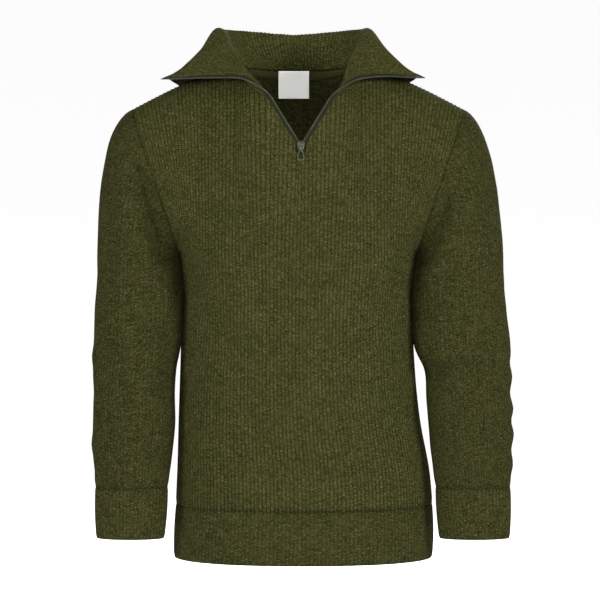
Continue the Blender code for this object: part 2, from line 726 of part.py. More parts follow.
def build_tape(name, places, across, on, finish):
    """A flat strip that runs on from the cloth's edge."""
    near = places + on * TAPE_GAP
    far = places + on * (TAPE_GAP + TAPE_WIDTH)
    bm = bmesh.new()
    sections = []
    for a, b, n in zip(near, far, across):
        four = (a - n * TAPE_HALF, b - n * TAPE_HALF, b + n * TAPE_HALF, a + n * TAPE_HALF)
        sections.append([bm.verts.new(p) for p in four])
    for low, high in zip(sections, sections[1:]):
        for k in range(4):
            bm.faces.new((low[k], low[(k + 1) % 4], high[(k + 1) % 4], high[k]))
    bm.faces.new(sections[0])
    bm.faces.new(sections[-1])
    bmesh.ops.triangulate(bm, faces=bm.faces)
    return add_object(name, bm, finish)


def build_coil(name, places, on, finish):
    """The row of coil on the tape's free edge, as the bead that it fills."""
    centre = places + on * (TAPE_GAP + TAPE_WIDTH + LAYER_GAP + COIL_RADIUS)
    curve = bpy.data.curves.new(name, "CURVE")
    curve.dimensions = "3D"
    curve.bevel_depth = COIL_RADIUS
    curve.bevel_resolution = 1
    curve.use_fill_caps = True
    spline = curve.splines.new("POLY")
    spline.points.add(len(centre) - 1)
    for point, place in zip(spline.points, centre):
        point.co = (*place, 1.0)
    made = bpy.data.objects.new(name, curve)
    made.data.materials.append(finish)
    bpy.context.scene.collection.children["pullover"].objects.link(made)
    return made


def slider_frame():
    """The slider's own frame: X across, Y up the slope, Z out of the cloth."""
    tilt = math.radians(SLIDER_TILT)
    up = Vector((0.0, math.sin(tilt), math.cos(tilt)))
    out = Vector((0.0, -math.cos(tilt), math.sin(tilt)))
    centre = Vector((SLIT_CENTRE_X, SLIDER_CENTRE_Y, SLIDER_CENTRE_Z))
    turn = Matrix((Vector((1.0, 0.0, 0.0)), up, out)).transposed().to_4x4()
    return Matrix.Translation(centre) @ turn


def box(name, size, centre, collection="pullover"):
    """A box of this size, as a primitive with its scale in the mesh."""
    bpy.ops.mesh.primitive_cube_add(size=1.0)
    made = bpy.context.object
    made.name = name
    made.data.name = name
    made.data.transform(Matrix.Diagonal((*size, 1.0)))
    made.data.transform(Matrix.Translation(centre))
    for other in list(made.users_collection):
        other.objects.unlink(made)
    bpy.context.scene.collection.children[collection].objects.link(made)
    return made


def combine(target, tool, operation):
    modifier = target.modifiers.new(tool.name, "BOOLEAN")
    modifier.operation = operation
    modifier.solver = "EXACT"
    modifier.object = tool
    tool.hide_render = True
    tool.display_type = "WIRE"


def build_slider(finish):
    """Two plates joined by a post, side rails, and the bridge that carries the pull tab."""
    half_channel = CHANNEL / 2
    plate_at = half_channel + PLATE / 2
    slider = box("zip_slider", (SLIDER_WIDTH, SLIDER_LENGTH, PLATE), (0.0, 0.0, plate_at))
    back = box("slider_back", (SLIDER_WIDTH, SLIDER_LENGTH, PLATE), (0.0, 0.0, -plate_at), "cutters")
    post = box("slider_post", (*POST_SIZE, CHANNEL + PLATE), (0.0, POST_UP, 0.0), "cutters")
    combine(slider, back, "UNION")
    combine(slider, post, "UNION")
    for side in (-1, 1):
        rail_at = (side * (SLIDER_WIDTH / 2 - RAIL_IN), RAIL_UP, 0.0)
        rail = box(f"slider_rail_{side + 1}", (*RAIL_SIZE, CHANNEL + PLATE), rail_at, "cutters")
        combine(slider, rail, "UNION")
    face = half_channel + PLATE
    bridge_size = (BRIDGE_WIDTH, BRIDGE_LENGTH, BRIDGE_RISE + PLATE / 2)
    bridge_at = (0.0, 0.0, face + BRIDGE_RISE / 2 - PLATE / 4)
    bridge = box("slider_bridge", bridge_size, bridge_at, "cutters")
    opening_size = (2 * BRIDGE_WIDTH, BRIDGE_OPEN_LENGTH, BRIDGE_OPEN_RISE)
    opening = box("slider_opening", opening_size, (0.0, 0.0, face + BRIDGE_OPEN_RISE / 2), "cutters")
    combine(slider, bridge, "UNION")
    combine(slider, opening, "DIFFERENCE")
    frame = slider_frame()
    for made in (slider, *bpy.context.scene.collection.children["cutters"].objects):
        made.matrix_world = frame
    slider.data.materials.append(finish)
    return face + BRIDGE_OPEN_RISE / 2


def build_pull(pivot_out, finish):
    """The pull tab, with the window that lets it swing round the bridge, its origin on its pivot."""
    top = TAB_BAR / 2
    outline = [
        (TAB_NECK / 2, top),
        (-TAB_NECK / 2, top),
        (-TAB_NECK / 2, -TAB_WINDOW - TAB_WAIST),
        (-TAB_FOOT / 2, -TAB_LENGTH + TAB_FOOT_LENGTH),
    ]
    turns = [math.pi + math.pi * k / 8 for k in range(9)]
    round_at = -TAB_LENGTH + TAB_ROUND
    outline += [
        (TAB_FOOT / 2 * math.cos(t), round_at + TAB_ROUND * math.sin(t)) for t in turns
    ]
    outline += [
        (TAB_FOOT / 2, -TAB_LENGTH + TAB_FOOT_LENGTH),
        (TAB_NECK / 2, -TAB_WINDOW - TAB_WAIST),
    ]
    bm = bmesh.new()
    low = [bm.verts.new((x, y, -TAB_THICK / 2)) for x, y in outline]
    high = [bm.verts.new((x, y, TAB_THICK / 2)) for x, y in outline]
    bm.faces.new(low)
    bm.faces.new(high)
    for k in range(len(outline)):
        m = (k + 1) % len(outline)
        bm.faces.new((low[k], low[m], high[m], high[k]))
    pull = add_object("zip_pull", bm, finish)
    window_length = TAB_WINDOW - TAB_BAR / 2
    window_size = (TAB_WINDOW_WIDTH, window_length, 3 * TAB_THICK)
    window_at = (0.0, -TAB_BAR / 2 - window_length / 2, 0.0)
    window = box("pull_window", window_size, window_at, "cutters")
    combine(pull, window, "DIFFERENCE")
    frame = slider_frame() @ Matrix.Translation((0.0, PIVOT_UP, pivot_out))
    pull.matrix_world = frame
    window.matrix_world = frame
    return frame.to_translation()


def build_neck_tape(back, finish):
    """The strip over the back neck seam, made from the panel's inner points, moved inwards."""
    points, normals, shift = back
    inner = points + shift - normals * HALF_WALL
    columns = [
        HALF_PANEL + PANEL_PLAIN * k for k in range(-NECK_TAPE_CELLS, NECK_TAPE_CELLS + 1)
    ]
    top = inner[-1, columns]
    below = inner[-2, columns]
    down = unit(below - top)
    along = unit(np.gradient(top, axis=0))
    inward = unit(np.cross(along, down))
    if inward[NECK_TAPE_CELLS, 1] > 0:
        inward = -inward
    bm = bmesh.new()
    sections = []
    for a, d, n in zip(top, down, inward):
        high = a + d * NECK_TAPE_START
        low = a + d * NECK_TAPE_DROP
        near = n * LAYER_GAP * 1.5
        far = near + n * NECK_TAPE_THICK
        sections.append([bm.verts.new(p) for p in (high + near, low + near, low + far, high + far)])
    for left, right in zip(sections, sections[1:]):
        for k in range(4):
            bm.faces.new((left[k], left[(k + 1) % 4], right[(k + 1) % 4], right[k]))
    bm.faces.new(sections[0])
    bm.faces.new(sections[-1])
    label_sides = (LABEL_CENTRE_X - LABEL_WIDTH / 2, LABEL_CENTRE_X + LABEL_WIDTH / 2)
    front_y = []
    for corner in (2, 3):
        xs = [section[corner].co.x for section in sections]
        ys = [section[corner].co.y for section in sections]
        front_y.extend(np.interp(label_sides, xs, ys))
    bmesh.ops.triangulate(bm, faces=bm.faces)
    add_object("neck_tape", bm, finish)
    return min(front_y)


def build_label(tape_y, finish):
    """The plain white label that hangs from the back neck seam."""
    size = (LABEL_WIDTH, LABEL_THICK, LABEL_HEIGHT)
    y = tape_y - LAYER_GAP - LABEL_THICK / 2
    label = box("neck_label", size, (LABEL_CENTRE_X, y, LABEL_TOP_Z - LABEL_HEIGHT / 2))
    label.data.materials.append(finish)


def build():
    for old in list(bpy.data.objects):
        bpy.data.objects.remove(old, do_unlink=True)
    for name in ("pullover", "cutters"):
        collection = bpy.data.collections.new(name)
        bpy.context.scene.collection.children.link(collection)
    knit = {
        name: material(name, OLIVE, 0.9)
        for name in ("front_knit", "back_knit", "sleeve_knit", "cuff_knit", "hem_knit", "collar_knit")
    }
    front = make_panel(-1)
    back = make_panel(1)
    seam = neck_ring(front[0], back[0])
    across, on = fit_neckline(front, back, seam)
    for (points, normals, shift), name in ((front, "front"), (back, "back")):
        normals[0] = level(normals[0])
        shift[0] += UPWARD * SEAM_GAP / 2
        rib = rib_pattern(*points.shape[:2])
        finish = knit[name + "_knit"]
        wall(name, points + shift, normals, rib, PANEL_PLAIN, finish, curved_row=len(points) - 1)
    for face, name in ((-1, "hem_front"), (1, "hem_back")):
        build_hem(face, name, knit["hem_knit"])
    for side in (-1, 1):
        seam_normals = build_sleeve(side, front, back, knit["sleeve_knit"])
        build_cuff(side, seam_normals, knit["cuff_knit"])
    collar = build_collar(seam, across, on, knit["collar_knit"])

    tape_finish = material("zip_tape", DARK_OLIVE, 0.8)
    coil_finish = material("zip_coil", COIL_GREY, 0.45)
    for side, name in ((-1, "right"), (1, "left")):
        places, across_zip, on_zip = zip_route(side, front, collar)
        build_tape("zip_tape_" + name, places, across_zip, on_zip, tape_finish)
        build_coil("zip_coil_" + name, places, on_zip, coil_finish)
    pivot_out = build_slider(material("zip_slider", METAL_GREY, 0.35, 0.9))
    build_pull(pivot_out, material("zip_pull", METAL_GREY, 0.35, 0.9))

    tape_y = build_neck_tape(back, material("neck_tape", DARK_OLIVE, 0.9))
    build_label(tape_y, material("neck_label", LABEL_WHITE, 0.8))


build()
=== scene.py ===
"""Looks of the half-zip rib-knit pullover: finer knitted shells over its solids, zip, label and light."""

import math
from functools import partial

import bmesh
import bpy
import numpy as np
from mathutils import Matrix, Vector


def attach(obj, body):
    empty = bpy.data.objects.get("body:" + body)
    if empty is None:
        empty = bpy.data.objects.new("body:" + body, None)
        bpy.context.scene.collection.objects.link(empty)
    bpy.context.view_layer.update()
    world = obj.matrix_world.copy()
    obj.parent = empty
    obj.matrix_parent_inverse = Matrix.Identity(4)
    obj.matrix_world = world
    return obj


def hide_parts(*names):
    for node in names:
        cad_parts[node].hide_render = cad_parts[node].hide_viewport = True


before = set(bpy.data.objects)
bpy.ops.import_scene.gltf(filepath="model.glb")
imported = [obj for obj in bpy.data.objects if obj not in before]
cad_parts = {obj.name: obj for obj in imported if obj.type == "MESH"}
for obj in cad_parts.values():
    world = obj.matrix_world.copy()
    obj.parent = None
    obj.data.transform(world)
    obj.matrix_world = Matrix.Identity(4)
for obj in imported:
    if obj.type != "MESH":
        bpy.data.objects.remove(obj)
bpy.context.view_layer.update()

# Knit
RIBS = 88  # ribs of the front or back
SLEEVE_RIBS = 64
CUFF_RIBS = 50
PER_RIB = 5  # columns to one rib
COLLAR_RIB = 0.0039  # distance between the collar's ribs along the neck seam
COURSE = 0.0029  # height of a row of stitches
ROW_STEP = 0.0075  # distance between a shell's rows
WALL_HALF = 0.0009
RISE = 0.0013
SOFT_RISE = 0.0008  # of the sleeves', cuffs' and hem's flatter ribs
LAYER_GAP = 0.0003
LEAN_CLEAR = 0.0024  # between the mid-walls of sleeve and body where they lean together
LEAN_TOP = -0.262
LEAN_LOW = -0.425
ROLL_EASE = 10  # how often the collar's profile is eased
ROLL_REACH = 0.020  # how far down the crest's height is given back
ROLL_LIFT = 0.0015
UPPER_ROWS = 32  # of the panels above the underarm
SLEEVE_ROWS = 42
HEAD_ROWS = 24  # between the armhole and the first sleeve ring
COLLAR_ROWS = 40
BAND_ROWS = 15  # of the cuffs and the hem
BAND_ARC = np.sin(np.linspace(0.0, math.pi, BAND_ROWS))[:, None, None]
CUFF_BOW = 0.0012
HEM_BOW = 0.0014
CLOTH_WAVE = 0.0007  # height of the slow unevenness
COLLAR_WAVE = 0.0006
TUCK = 0.0004  # how far a seam draws the cloth in
TUCK_WIDTH = 0.0026
TUCK_FLATTENS = 0.35  # share of the ribs' height that a seam takes
THIN_SHARE = 0.45  # thickness left at a free edge
THIN_WIDTH = 0.005
INNER_RISE = 0.0006  # of the ribs seen from inside
INSIDE_SHADE = 0.58  # the knit's height value inside, in place of the ribs' own
INSIDE_RELIEF = 0.10
RIM_SHADES = (0.4, 0.4, 0.6, 0.6)
PLATE_EDGE = 0.00035  # easing of the slider's edges
HARD_EDGE = 0.00030

# Columns of the front and back, two for each rib's side
HALF_PANEL = RIBS * PER_RIB // 2
HALF_NOTCH = 9
ZIP_KNEE = 10
ZIP_TOP = 41
NECK_SIDE = 86
SIDE_BLEND = 17
SLEEVE_COLUMNS = SLEEVE_RIBS * PER_RIB
HALF_WALL = 0.0010
RIB_RISE = 0.0012

TORSO_SQUARE = 2.3  # exponent of the torso's sections, 2 for an ellipse
TORSO = [
    # z, half_width, centre_x, front, back
    (-0.6153, 0.1780, 0.0086, 0.120, 0.118),
    (-0.5750, 0.1752, 0.0077, 0.122, 0.119),
    (-0.4970, 0.1670, 0.0018, 0.119, 0.113),
    (-0.4000, 0.1610, -0.0010, 0.115, 0.108),
    (-0.3100, 0.1590, -0.0005, 0.119, 0.110),
    (-0.2620, 0.1640, 0.0000, 0.123, 0.114),
]
HEM_BAND = [
    # z, half_width, centre_x, front, back
    (-0.6153, 0.1780, 0.0086, 0.120, 0.118),
    (-0.6500, 0.1790, 0.0082, 0.121, 0.119),
    (-0.6905, 0.1800, 0.0072, 0.123, 0.121),
]
SHOULDER_TIP = (0.2300, 0.004, -0.0650)
NECK_POINT = (0.0850, 0.000, 0.0000)
SHOULDER_ARCH = 0.004  # how far the shoulder seam bows up
ARMHOLE_DEPTH = 0.068  # from the armhole's middle to its front or back edge
BACK_NECK_Y = 0.078
BACK_NECK_Z = -0.014
CENTRE_TURN = 40.0  # degrees that the front turns towards the shoulder at its centre
BACK_CENTRE_TURN = 62.0
ARMHOLE_BLEND = (0.55, 1.00)
NECK_LIFT = 0.72  # how steeply the cloth rises at the neckline, against
NECK_LEAN = 0.69  # how far it leans in towards the neck
FRONT_NECK_BEND = (0.0800, -0.0600, -0.0260)
BACK_NECK_FLAT = 0.0500  # how far the back neckline runs level from the centre
BACK_NECK_TURN = (0.0, 0.047, -0.006)
SLIT_CENTRE_X = 0.004
NOTCH_HALF = 0.0065
NOTCH_Z = -0.1145
NOTCH_Y = -0.1150
KNEE_HALF = 0.0075
KNEE_Z = -0.1035
KNEE_Y = -0.1128
SLIT_TOP_HALF = 0.0455
SLIT_TOP_Z = -0.0430
SLIT_TOP_Y = -0.0950
SLEEVE = {
    "right": [
        # z, inner, outer, centre_y, half_depth
        (-0.2900, 0.1650, 0.2805, -0.012, 0.0610),
        (-0.3450, 0.1642, 0.2840, -0.018, 0.0590),
        (-0.4000, 0.1670, 0.2855, -0.024, 0.0560),
        (-0.4500, 0.1722, 0.2862, -0.031, 0.0520),
        (-0.4980, 0.1712, 0.2863, -0.038, 0.0470),
        (-0.5440, 0.1758, 0.2863, -0.045, 0.0410),
        (-0.5870, 0.1814, 0.2828, -0.052, 0.0350),
    ],
    "left": [
        (-0.2900, 0.1640, 0.2870, -0.012, 0.0610),
        (-0.3450, 0.1645, 0.2915, -0.018, 0.0590),
        (-0.3920, 0.1662, 0.2965, -0.023, 0.0565),
        (-0.4240, 0.1765, 0.2974, -0.027, 0.0540),
        (-0.4720, 0.1795, 0.2980, -0.034, 0.0500),
        (-0.5300, 0.1848, 0.2992, -0.043, 0.0430),
        (-0.5870, 0.1918, 0.2964, -0.052, 0.0350),
    ],
}
CUFF = {
    "right": [
        (-0.5870, 0.1814, 0.2828, -0.052, 0.0350),
        (-0.6580, 0.1862, 0.2815, -0.061, 0.0270),
    ],
    "left": [
        (-0.5870, 0.1918, 0.2964, -0.052, 0.0350),
        (-0.6580, 0.1967, 0.2955, -0.061, 0.0270),
    ],
}
CAP_START_PULL = {"right": 0.62, "left": 0.54}
CAP_END_PULL = 1.05
CREASES = {
    "front": [
        # facing, x1, z1, x2, z2, width, rise
        (-1, -0.160, -0.300, -0.098, -0.395, 0.020, -0.0035),
        (-1, -0.128, -0.290, -0.076, -0.352, 0.022, 0.0020),
        (-1, 0.158, -0.305, 0.100, -0.372, 0.020, -0.0035),
        (-1, 0.128, -0.268, 0.066, -0.316, 0.024, 0.0020),
    ],
    "back": [
        (1, -0.158, -0.310, -0.090, -0.405, 0.022, -0.0040),
        (1, 0.160, -0.295, 0.104, -0.390, 0.020, -0.0035),
        (1, 0.075, -0.200, 0.016, -0.262, 0.026, 0.0020),
    ],
    "sleeve_right": [
        (-1, -0.205, -0.175, -0.172, -0.300, 0.016, -0.0050),
        (-1, -0.236, -0.200, -0.196, -0.290, 0.018, 0.0030),
        (-1, -0.276, -0.396, -0.178, -0.412, 0.015, -0.0040),
        (-1, -0.270, -0.455, -0.200, -0.438, 0.018, 0.0030),
        (-1, -0.274, -0.540, -0.186, -0.548, 0.014, -0.0025),
        (1, -0.270, -0.330, -0.180, -0.400, 0.018, -0.0040),
        (1, -0.278, -0.450, -0.190, -0.500, 0.016, 0.0030),
    ],
    "sleeve_left": [
        (-1, 0.182, -0.245, 0.214, -0.134, 0.013, -0.0045),
        (-1, 0.186, -0.290, 0.250, -0.176, 0.015, 0.0045),
        (-1, 0.182, -0.345, 0.240, -0.215, 0.013, -0.0040),
        (-1, 0.176, -0.424, 0.236, -0.424, 0.017, -0.0075),
        (-1, 0.236, -0.424, 0.298, -0.432, 0.014, -0.0025),
        (-1, 0.190, -0.472, 0.296, -0.476, 0.016, 0.0025),
        (-1, 0.190, -0.526, 0.298, -0.534, 0.015, -0.0025),
        (1, 0.186, -0.380, 0.280, -0.330, 0.018, -0.0045),
        (1, 0.190, -0.430, 0.296, -0.410, 0.016, 0.0035),
    ],
}
CREASE_TURN = 1.6  # how fast a crease comes up as the cloth turns to the side that it is on
COLLAR_CENTRE_X = -0.007
COLLAR_TILT = 0.0010  # how far the collar's fall is raised at +X and lowered at -X
SLIT_SHARE = 0.30  # the share of each half that leans with the slit and not with the neck
COLLAR_STATIONS = [
    # share, stand_x, stand_y, stand_z, roll_x, roll_y, roll_z, fall_x, fall_y, fall_z, edge_x, edge_y, edge_z
    (0.00, -0.0505, -0.092, -0.034, -0.066, -0.084, -0.019, -0.113, -0.056, -0.0135, -0.182, -0.030, -0.0195),
    (0.14, -0.0640, -0.072, -0.018, -0.074, -0.063, -0.002, -0.120, -0.033, 0.0020, -0.178, -0.018, -0.0185),
    (0.28, -0.0780, -0.045, 0.002, -0.088, -0.037, 0.021, -0.124, -0.016, 0.0140, -0.173, -0.006, -0.0200),
    (0.46, -0.0890, -0.006, 0.027, -0.102, 0.006, 0.044, -0.129, 0.018, 0.0160, -0.165, 0.024, -0.0270),
    (0.70, -0.0820, 0.056, 0.021, -0.089, 0.074, 0.041, -0.111, 0.096, -0.0050, -0.126, 0.108, -0.0520),
    (1.00, 0.0000, 0.086, 0.015, 0.000, 0.101, 0.0325, 0.000, 0.119, -0.0125, 0.000, 0.130, -0.0630),
]
TAPE_GAP = 0.0006  # from the cloth's edge, whose line turns at the neckline
TAPE_WIDTH = 0.0030
TAPE_HALF = 0.0005
COIL_RADIUS = 0.0012
ZIP_START = 0.14  # share of the slit's slope that the slider covers
SLIDER_TILT = 11.0  # degrees that the chest leans forwards
SLIDER_CENTRE_Y = -0.1139
SLIDER_CENTRE_Z = -0.1065
SLIDER_WIDTH = 0.0096
SLIDER_LENGTH = 0.0130
PLATE = 0.0011
CHANNEL = 0.0030
BRIDGE_WIDTH = 0.0018
BRIDGE_LENGTH = 0.0072
BRIDGE_RISE = 0.0036
BRIDGE_OPEN_LENGTH = 0.0044
BRIDGE_OPEN_RISE = 0.0024
PIVOT_UP = -0.0009  # the tab's pivot from the slider's centre, up the slope
TAB_THICK = 0.0012
TAB_BAR = 0.0014
TAB_WINDOW = 0.0054  # from the pivot to the window's far end
TAB_WINDOW_WIDTH = 0.0030
TAB_NECK = 0.0058
TAB_WAIST = 0.0016  # from the window's far end to where the tab begins to widen
TAB_FOOT = 0.0104
TAB_FOOT_LENGTH = 0.0060
TAB_ROUND = 0.0033  # how far the rounded end reaches past the foot's sides
TAB_LENGTH = 0.0210
NECK_TAPE_START = 0.0012  # from the neck seam to the strip's upper edge
NECK_TAPE_DROP = 0.0120
LABEL_WIDTH = 0.0430
LABEL_HEIGHT = 0.0390
LABEL_CENTRE_X = -0.0060
LABEL_TOP_Z = -0.0135
BACKWARD = np.array((0.0, 1.0, 0.0))
UPWARD = np.array((0.0, 0.0, 1.0))

# The tapes' ends behind the slider: level on the slider, distance of the outer and inner edge
TAPE_TAIL = (
    (-0.0078, 0.0061, 0.0003),
    (-0.0050, 0.0062, 0.0003),
    (-0.0020, 0.0064, 0.0003),
    (0.0010, 0.0067, 0.0005),
    (0.0038, 0.0074, 0.0014),
    (0.0066, 0.0092, 0.0034),
)
# The coils' ends in the slider's mouths: across, up
COIL_TAIL = ((0.0016, 0.0018), (0.0024, 0.0042), (0.0037, 0.0068))

# Small folds that lie over the large ones
SMALL_CREASES = {
    "front": [
        (-1, -0.150, -0.262, -0.128, -0.330, 0.012, -0.0022),
        (-1, 0.150, -0.262, 0.122, -0.318, 0.012, -0.0022),
        (-1, -0.118, -0.520, 0.040, -0.545, 0.024, 0.0012),
        (-1, 0.020, -0.470, 0.120, -0.440, 0.026, -0.0012),
    ],
    "back": [
        (1, -0.148, -0.262, -0.120, -0.336, 0.012, -0.0025),
        (1, 0.150, -0.262, 0.126, -0.320, 0.012, -0.0025),
        (1, -0.060, -0.520, 0.090, -0.548, 0.024, 0.0014),
        (1, -0.120, -0.455, -0.020, -0.430, 0.026, -0.0014),
    ],
    "sleeve_right": [
        (-1, -0.222, -0.140, -0.186, -0.262, 0.013, -0.0110),
        (-1, -0.274, -0.372, -0.205, -0.366, 0.012, 0.0018),
        (-1, -0.262, -0.430, -0.190, -0.428, 0.010, 0.0020),
        (-1, -0.276, -0.486, -0.214, -0.492, 0.012, -0.0015),
        (-1, -0.272, -0.560, -0.196, -0.568, 0.009, 0.0015),
        (1, -0.274, -0.372, -0.205, -0.360, 0.012, 0.0018),
        (1, -0.272, -0.520, -0.196, -0.540, 0.012, -0.0020),
    ],
    "sleeve_left": [
        (-1, 0.206, -0.190, 0.182, -0.268, 0.010, -0.0060),
        (-1, 0.240, -0.400, 0.294, -0.404, 0.010, 0.0022),
        (-1, 0.186, -0.404, 0.214, -0.398, 0.011, 0.0026),
        (-1, 0.182, -0.446, 0.230, -0.444, 0.010, 0.0022),
        (-1, 0.212, -0.500, 0.296, -0.496, 0.011, -0.0018),
        (-1, 0.200, -0.560, 0.292, -0.556, 0.010, 0.0016),
        (1, 0.240, -0.370, 0.292, -0.380, 0.011, 0.0020),
        (1, 0.200, -0.500, 0.290, -0.520, 0.012, -0.0022),
    ],
}
# Bulges of the sleeves' outer edges: level, half-height, rise
OUTER_BULGES = {
    "sleeve_right": [
        (-0.407, 0.011, 0.0020), (-0.455, 0.013, -0.0012), (-0.529, 0.012, 0.0022), (-0.566, 0.010, -0.0010),
    ],
    "sleeve_left": [
        (-0.415, 0.010, -0.0016), (-0.435, 0.010, 0.0020), (-0.457, 0.009, -0.0016), (-0.479, 0.010, 0.0028),
        (-0.497, 0.008, -0.0014), (-0.515, 0.009, 0.0022), (-0.536, 0.009, -0.0014), (-0.556, 0.010, 0.0020),
    ],
}


def unit(v):
    """Each vector along the last axis at length 1."""
    v = np.asarray(v, float)
    return v / np.maximum(np.linalg.norm(v, axis=-1, keepdims=True), 1e-12)


def smooth_step(t):
    t = np.clip(t, 0.0, 1.0)
    return t * t * (3.0 - 2.0 * t)


def run_along(line):
    """Distance along a polyline from its first point."""
    return np.concatenate([[0.0], np.cumsum(np.linalg.norm(np.diff(line, axis=0), axis=1))])


def read_at(wanted, run, data):
    """Three-part data at distances along a polyline."""
    return np.stack([np.interp(wanted, run, data[:, k]) for k in range(3)], axis=1)


def even(points, count):
    """The polyline at count + 1 places, equally far apart along it."""
    points = np.asarray(points, float)
    run = run_along(points)
    return read_at(np.linspace(0.0, run[-1], count + 1), run, points)


def bezier(controls, count):
    """Points at count + 1 equal distances on the Bezier curve of these control points."""
    t = np.linspace(0.0, 1.0, 160)[:, None]
    points = [np.asarray(c, float) * np.ones((160, 1)) for c in controls]
    while len(points) > 1:
        points = [a + (b - a) * t for a, b in zip(points, points[1:])]
    return even(points[0], count)


def hermite(s, start, leave, end, arrive):
    """The curve from start to end at share s, with the slopes it leaves and arrives on."""
    return (
        (2 * s**3 - 3 * s**2 + 1) * start
        + (s**3 - 2 * s**2 + s) * leave
        + (3 * s**2 - 2 * s**3) * end
        + (s**3 - s**2) * arrive
    )


def through(keys, values, at):
    """A smooth curve through values at their keys, read at other places."""
    keys = np.asarray(keys, float)
    values = np.asarray(values, float)
    slopes = np.gradient(values, keys, axis=0)
    out = []
    for t in np.atleast_1d(at):
        k = int(np.clip(np.searchsorted(keys, t, side="right") - 1, 0, len(keys) - 2))
        step = keys[k + 1] - keys[k]
        leave, arrive = step * slopes[k : k + 2]
        out.append(hermite((t - keys[k]) / step, values[k], leave, values[k + 1], arrive))
    return np.array(out)


def mirrored(point, side):
    """A point given for the +X side, on the side asked for."""
    return np.array((side * point[0], point[1], point[2]))


def torso_section(row, face):
    """Half a torso section from the -X side to the +X side, over the front or the back."""
    z, half_width, centre_x, front, back = row
    depth = front if face < 0 else back
    turn = np.linspace(-math.pi / 2, math.pi / 2, 361)
    power = 2.0 / TORSO_SQUARE
    x = centre_x + half_width * np.sign(np.sin(turn)) * np.abs(np.sin(turn)) ** power
    y = face * depth * np.abs(np.cos(turn)) ** power
    points = np.stack([x, y, np.full_like(x, z)], axis=1)
    return even(points, 2 * HALF_PANEL)


UNDERARM = (TORSO[-1][1], 0.0, TORSO[-1][0])


def armhole_frame(side):
    """Middle, up and outward directions and half-height of the armhole's plane."""
    low = mirrored(UNDERARM, side)
    high = mirrored(SHOULDER_TIP, side)
    up = unit((high - low) * (1.0, 0.0, 1.0))
    outward = np.array((side * up[2], 0.0, -side * up[0]))
    return (low + high) / 2, up, outward, np.linalg.norm(high - low) / 2


def shoulder_seam(side):
    """From the neck point to the shoulder tip."""
    t = np.linspace(0.0, 1.0, HALF_PANEL - NECK_SIDE + 1)[:, None]
    line = mirrored(NECK_POINT, side) * (1 - t) + mirrored(SHOULDER_TIP, side) * t
    return line + UPWARD * SHOULDER_ARCH * np.sin(math.pi * t)


def front_neckline(side):
    """From the top of the slit to the neck point."""
    low = (SLIT_CENTRE_X + side * SLIT_TOP_HALF, SLIT_TOP_Y, SLIT_TOP_Z)
    bend = mirrored(FRONT_NECK_BEND, side)
    return bezier([low, bend, mirrored(NECK_POINT, side)], NECK_SIDE - ZIP_TOP)


def slit_edge(side):
    """From the notch's middle over its corner and the knee up to the neckline."""
    middle = np.array((SLIT_CENTRE_X, NOTCH_Y, NOTCH_Z))
    corner = np.array((SLIT_CENTRE_X + side * NOTCH_HALF, NOTCH_Y, NOTCH_Z))
    knee = np.array((SLIT_CENTRE_X + side * KNEE_HALF, KNEE_Y, KNEE_Z))
    top = np.array((SLIT_CENTRE_X + side * SLIT_TOP_HALF, SLIT_TOP_Y, SLIT_TOP_Z))
    floor = [middle + (corner - middle) * k / HALF_NOTCH for k in range(HALF_NOTCH + 1)]
    return np.array(floor + list(even([knee, top], ZIP_TOP - ZIP_KNEE)))


def back_neckline(side):
    """From the centre back to the neck point."""
    neck = mirrored(NECK_POINT, side)
    centre = np.array((0.0, BACK_NECK_Y, BACK_NECK_Z))
    level_end = mirrored((BACK_NECK_FLAT, BACK_NECK_Y, BACK_NECK_Z), side)
    return bezier([centre, level_end, neck + BACK_NECK_TURN, neck], NECK_SIDE)


def top_edge(face):
    """A panel's top edge from the -X shoulder tip to the +X one."""
    halves = []
    for side in (-1, 1):
        if face < 0:
            middle = np.concatenate([slit_edge(side), front_neckline(side)[1:]])
        else:
            middle = back_neckline(side)
        halves.append(np.concatenate([middle, shoulder_seam(side)[1:]]))
    return np.concatenate([halves[0][::-1], halves[1][1:]])


def upper_row(base, top, share, face):
    """One row between the underarm and the top edge, at this share of the way up."""
    f = np.linspace(-1.0, 1.0, 2 * HALF_PANEL + 1)
    centre_turn = math.radians(CENTRE_TURN if face < 0 else BACK_CENTRE_TURN)
    neck = NECK_SIDE / HALF_PANEL
    full = centre_turn + (math.pi / 2 - centre_turn) * smooth_step(np.abs(f) / neck)
    turn = share * full
    over = ((1 - np.cos(turn)) / (1 - np.cos(full)))[:, None]
    up = (np.sin(turn) / np.sin(full))[:, None]
    arch = base + (top - base) * (0.0, 1.0, 0.0) * over + (top - base) * (1.0, 0.0, 1.0) * up
    loop = base + (top - base) * (1 - math.cos(math.pi * share)) / 2
    loop = loop + BACKWARD * face * ARMHOLE_DEPTH * math.sin(math.pi * share)
    start, end = ARMHOLE_BLEND
    weight = smooth_step((np.abs(f) - start) / (end - start))[:, None]
    return arch * (1 - weight) + loop * weight


def surface_normals(points, outward):
    """Normals of a grid of points, turned to the outward side."""
    along = np.gradient(points, axis=1)
    up = np.gradient(points, axis=0)
    normals = unit(np.cross(along, up))
    middle = points.shape[0] // 2, points.shape[1] // 2
    if np.dot(normals[middle], outward) < 0:
        normals = -normals
    return normals


def armhole_normal(side, share, face):
    """The direction across the wall on the armhole, straight out from its middle."""
    _, up, _, half_height = armhole_frame(side)
    turn = math.pi * (1 - share)
    normal = math.cos(turn) / half_height * up
    normal = normal + math.sin(turn) / ARMHOLE_DEPTH * face * BACKWARD
    return unit(normal)


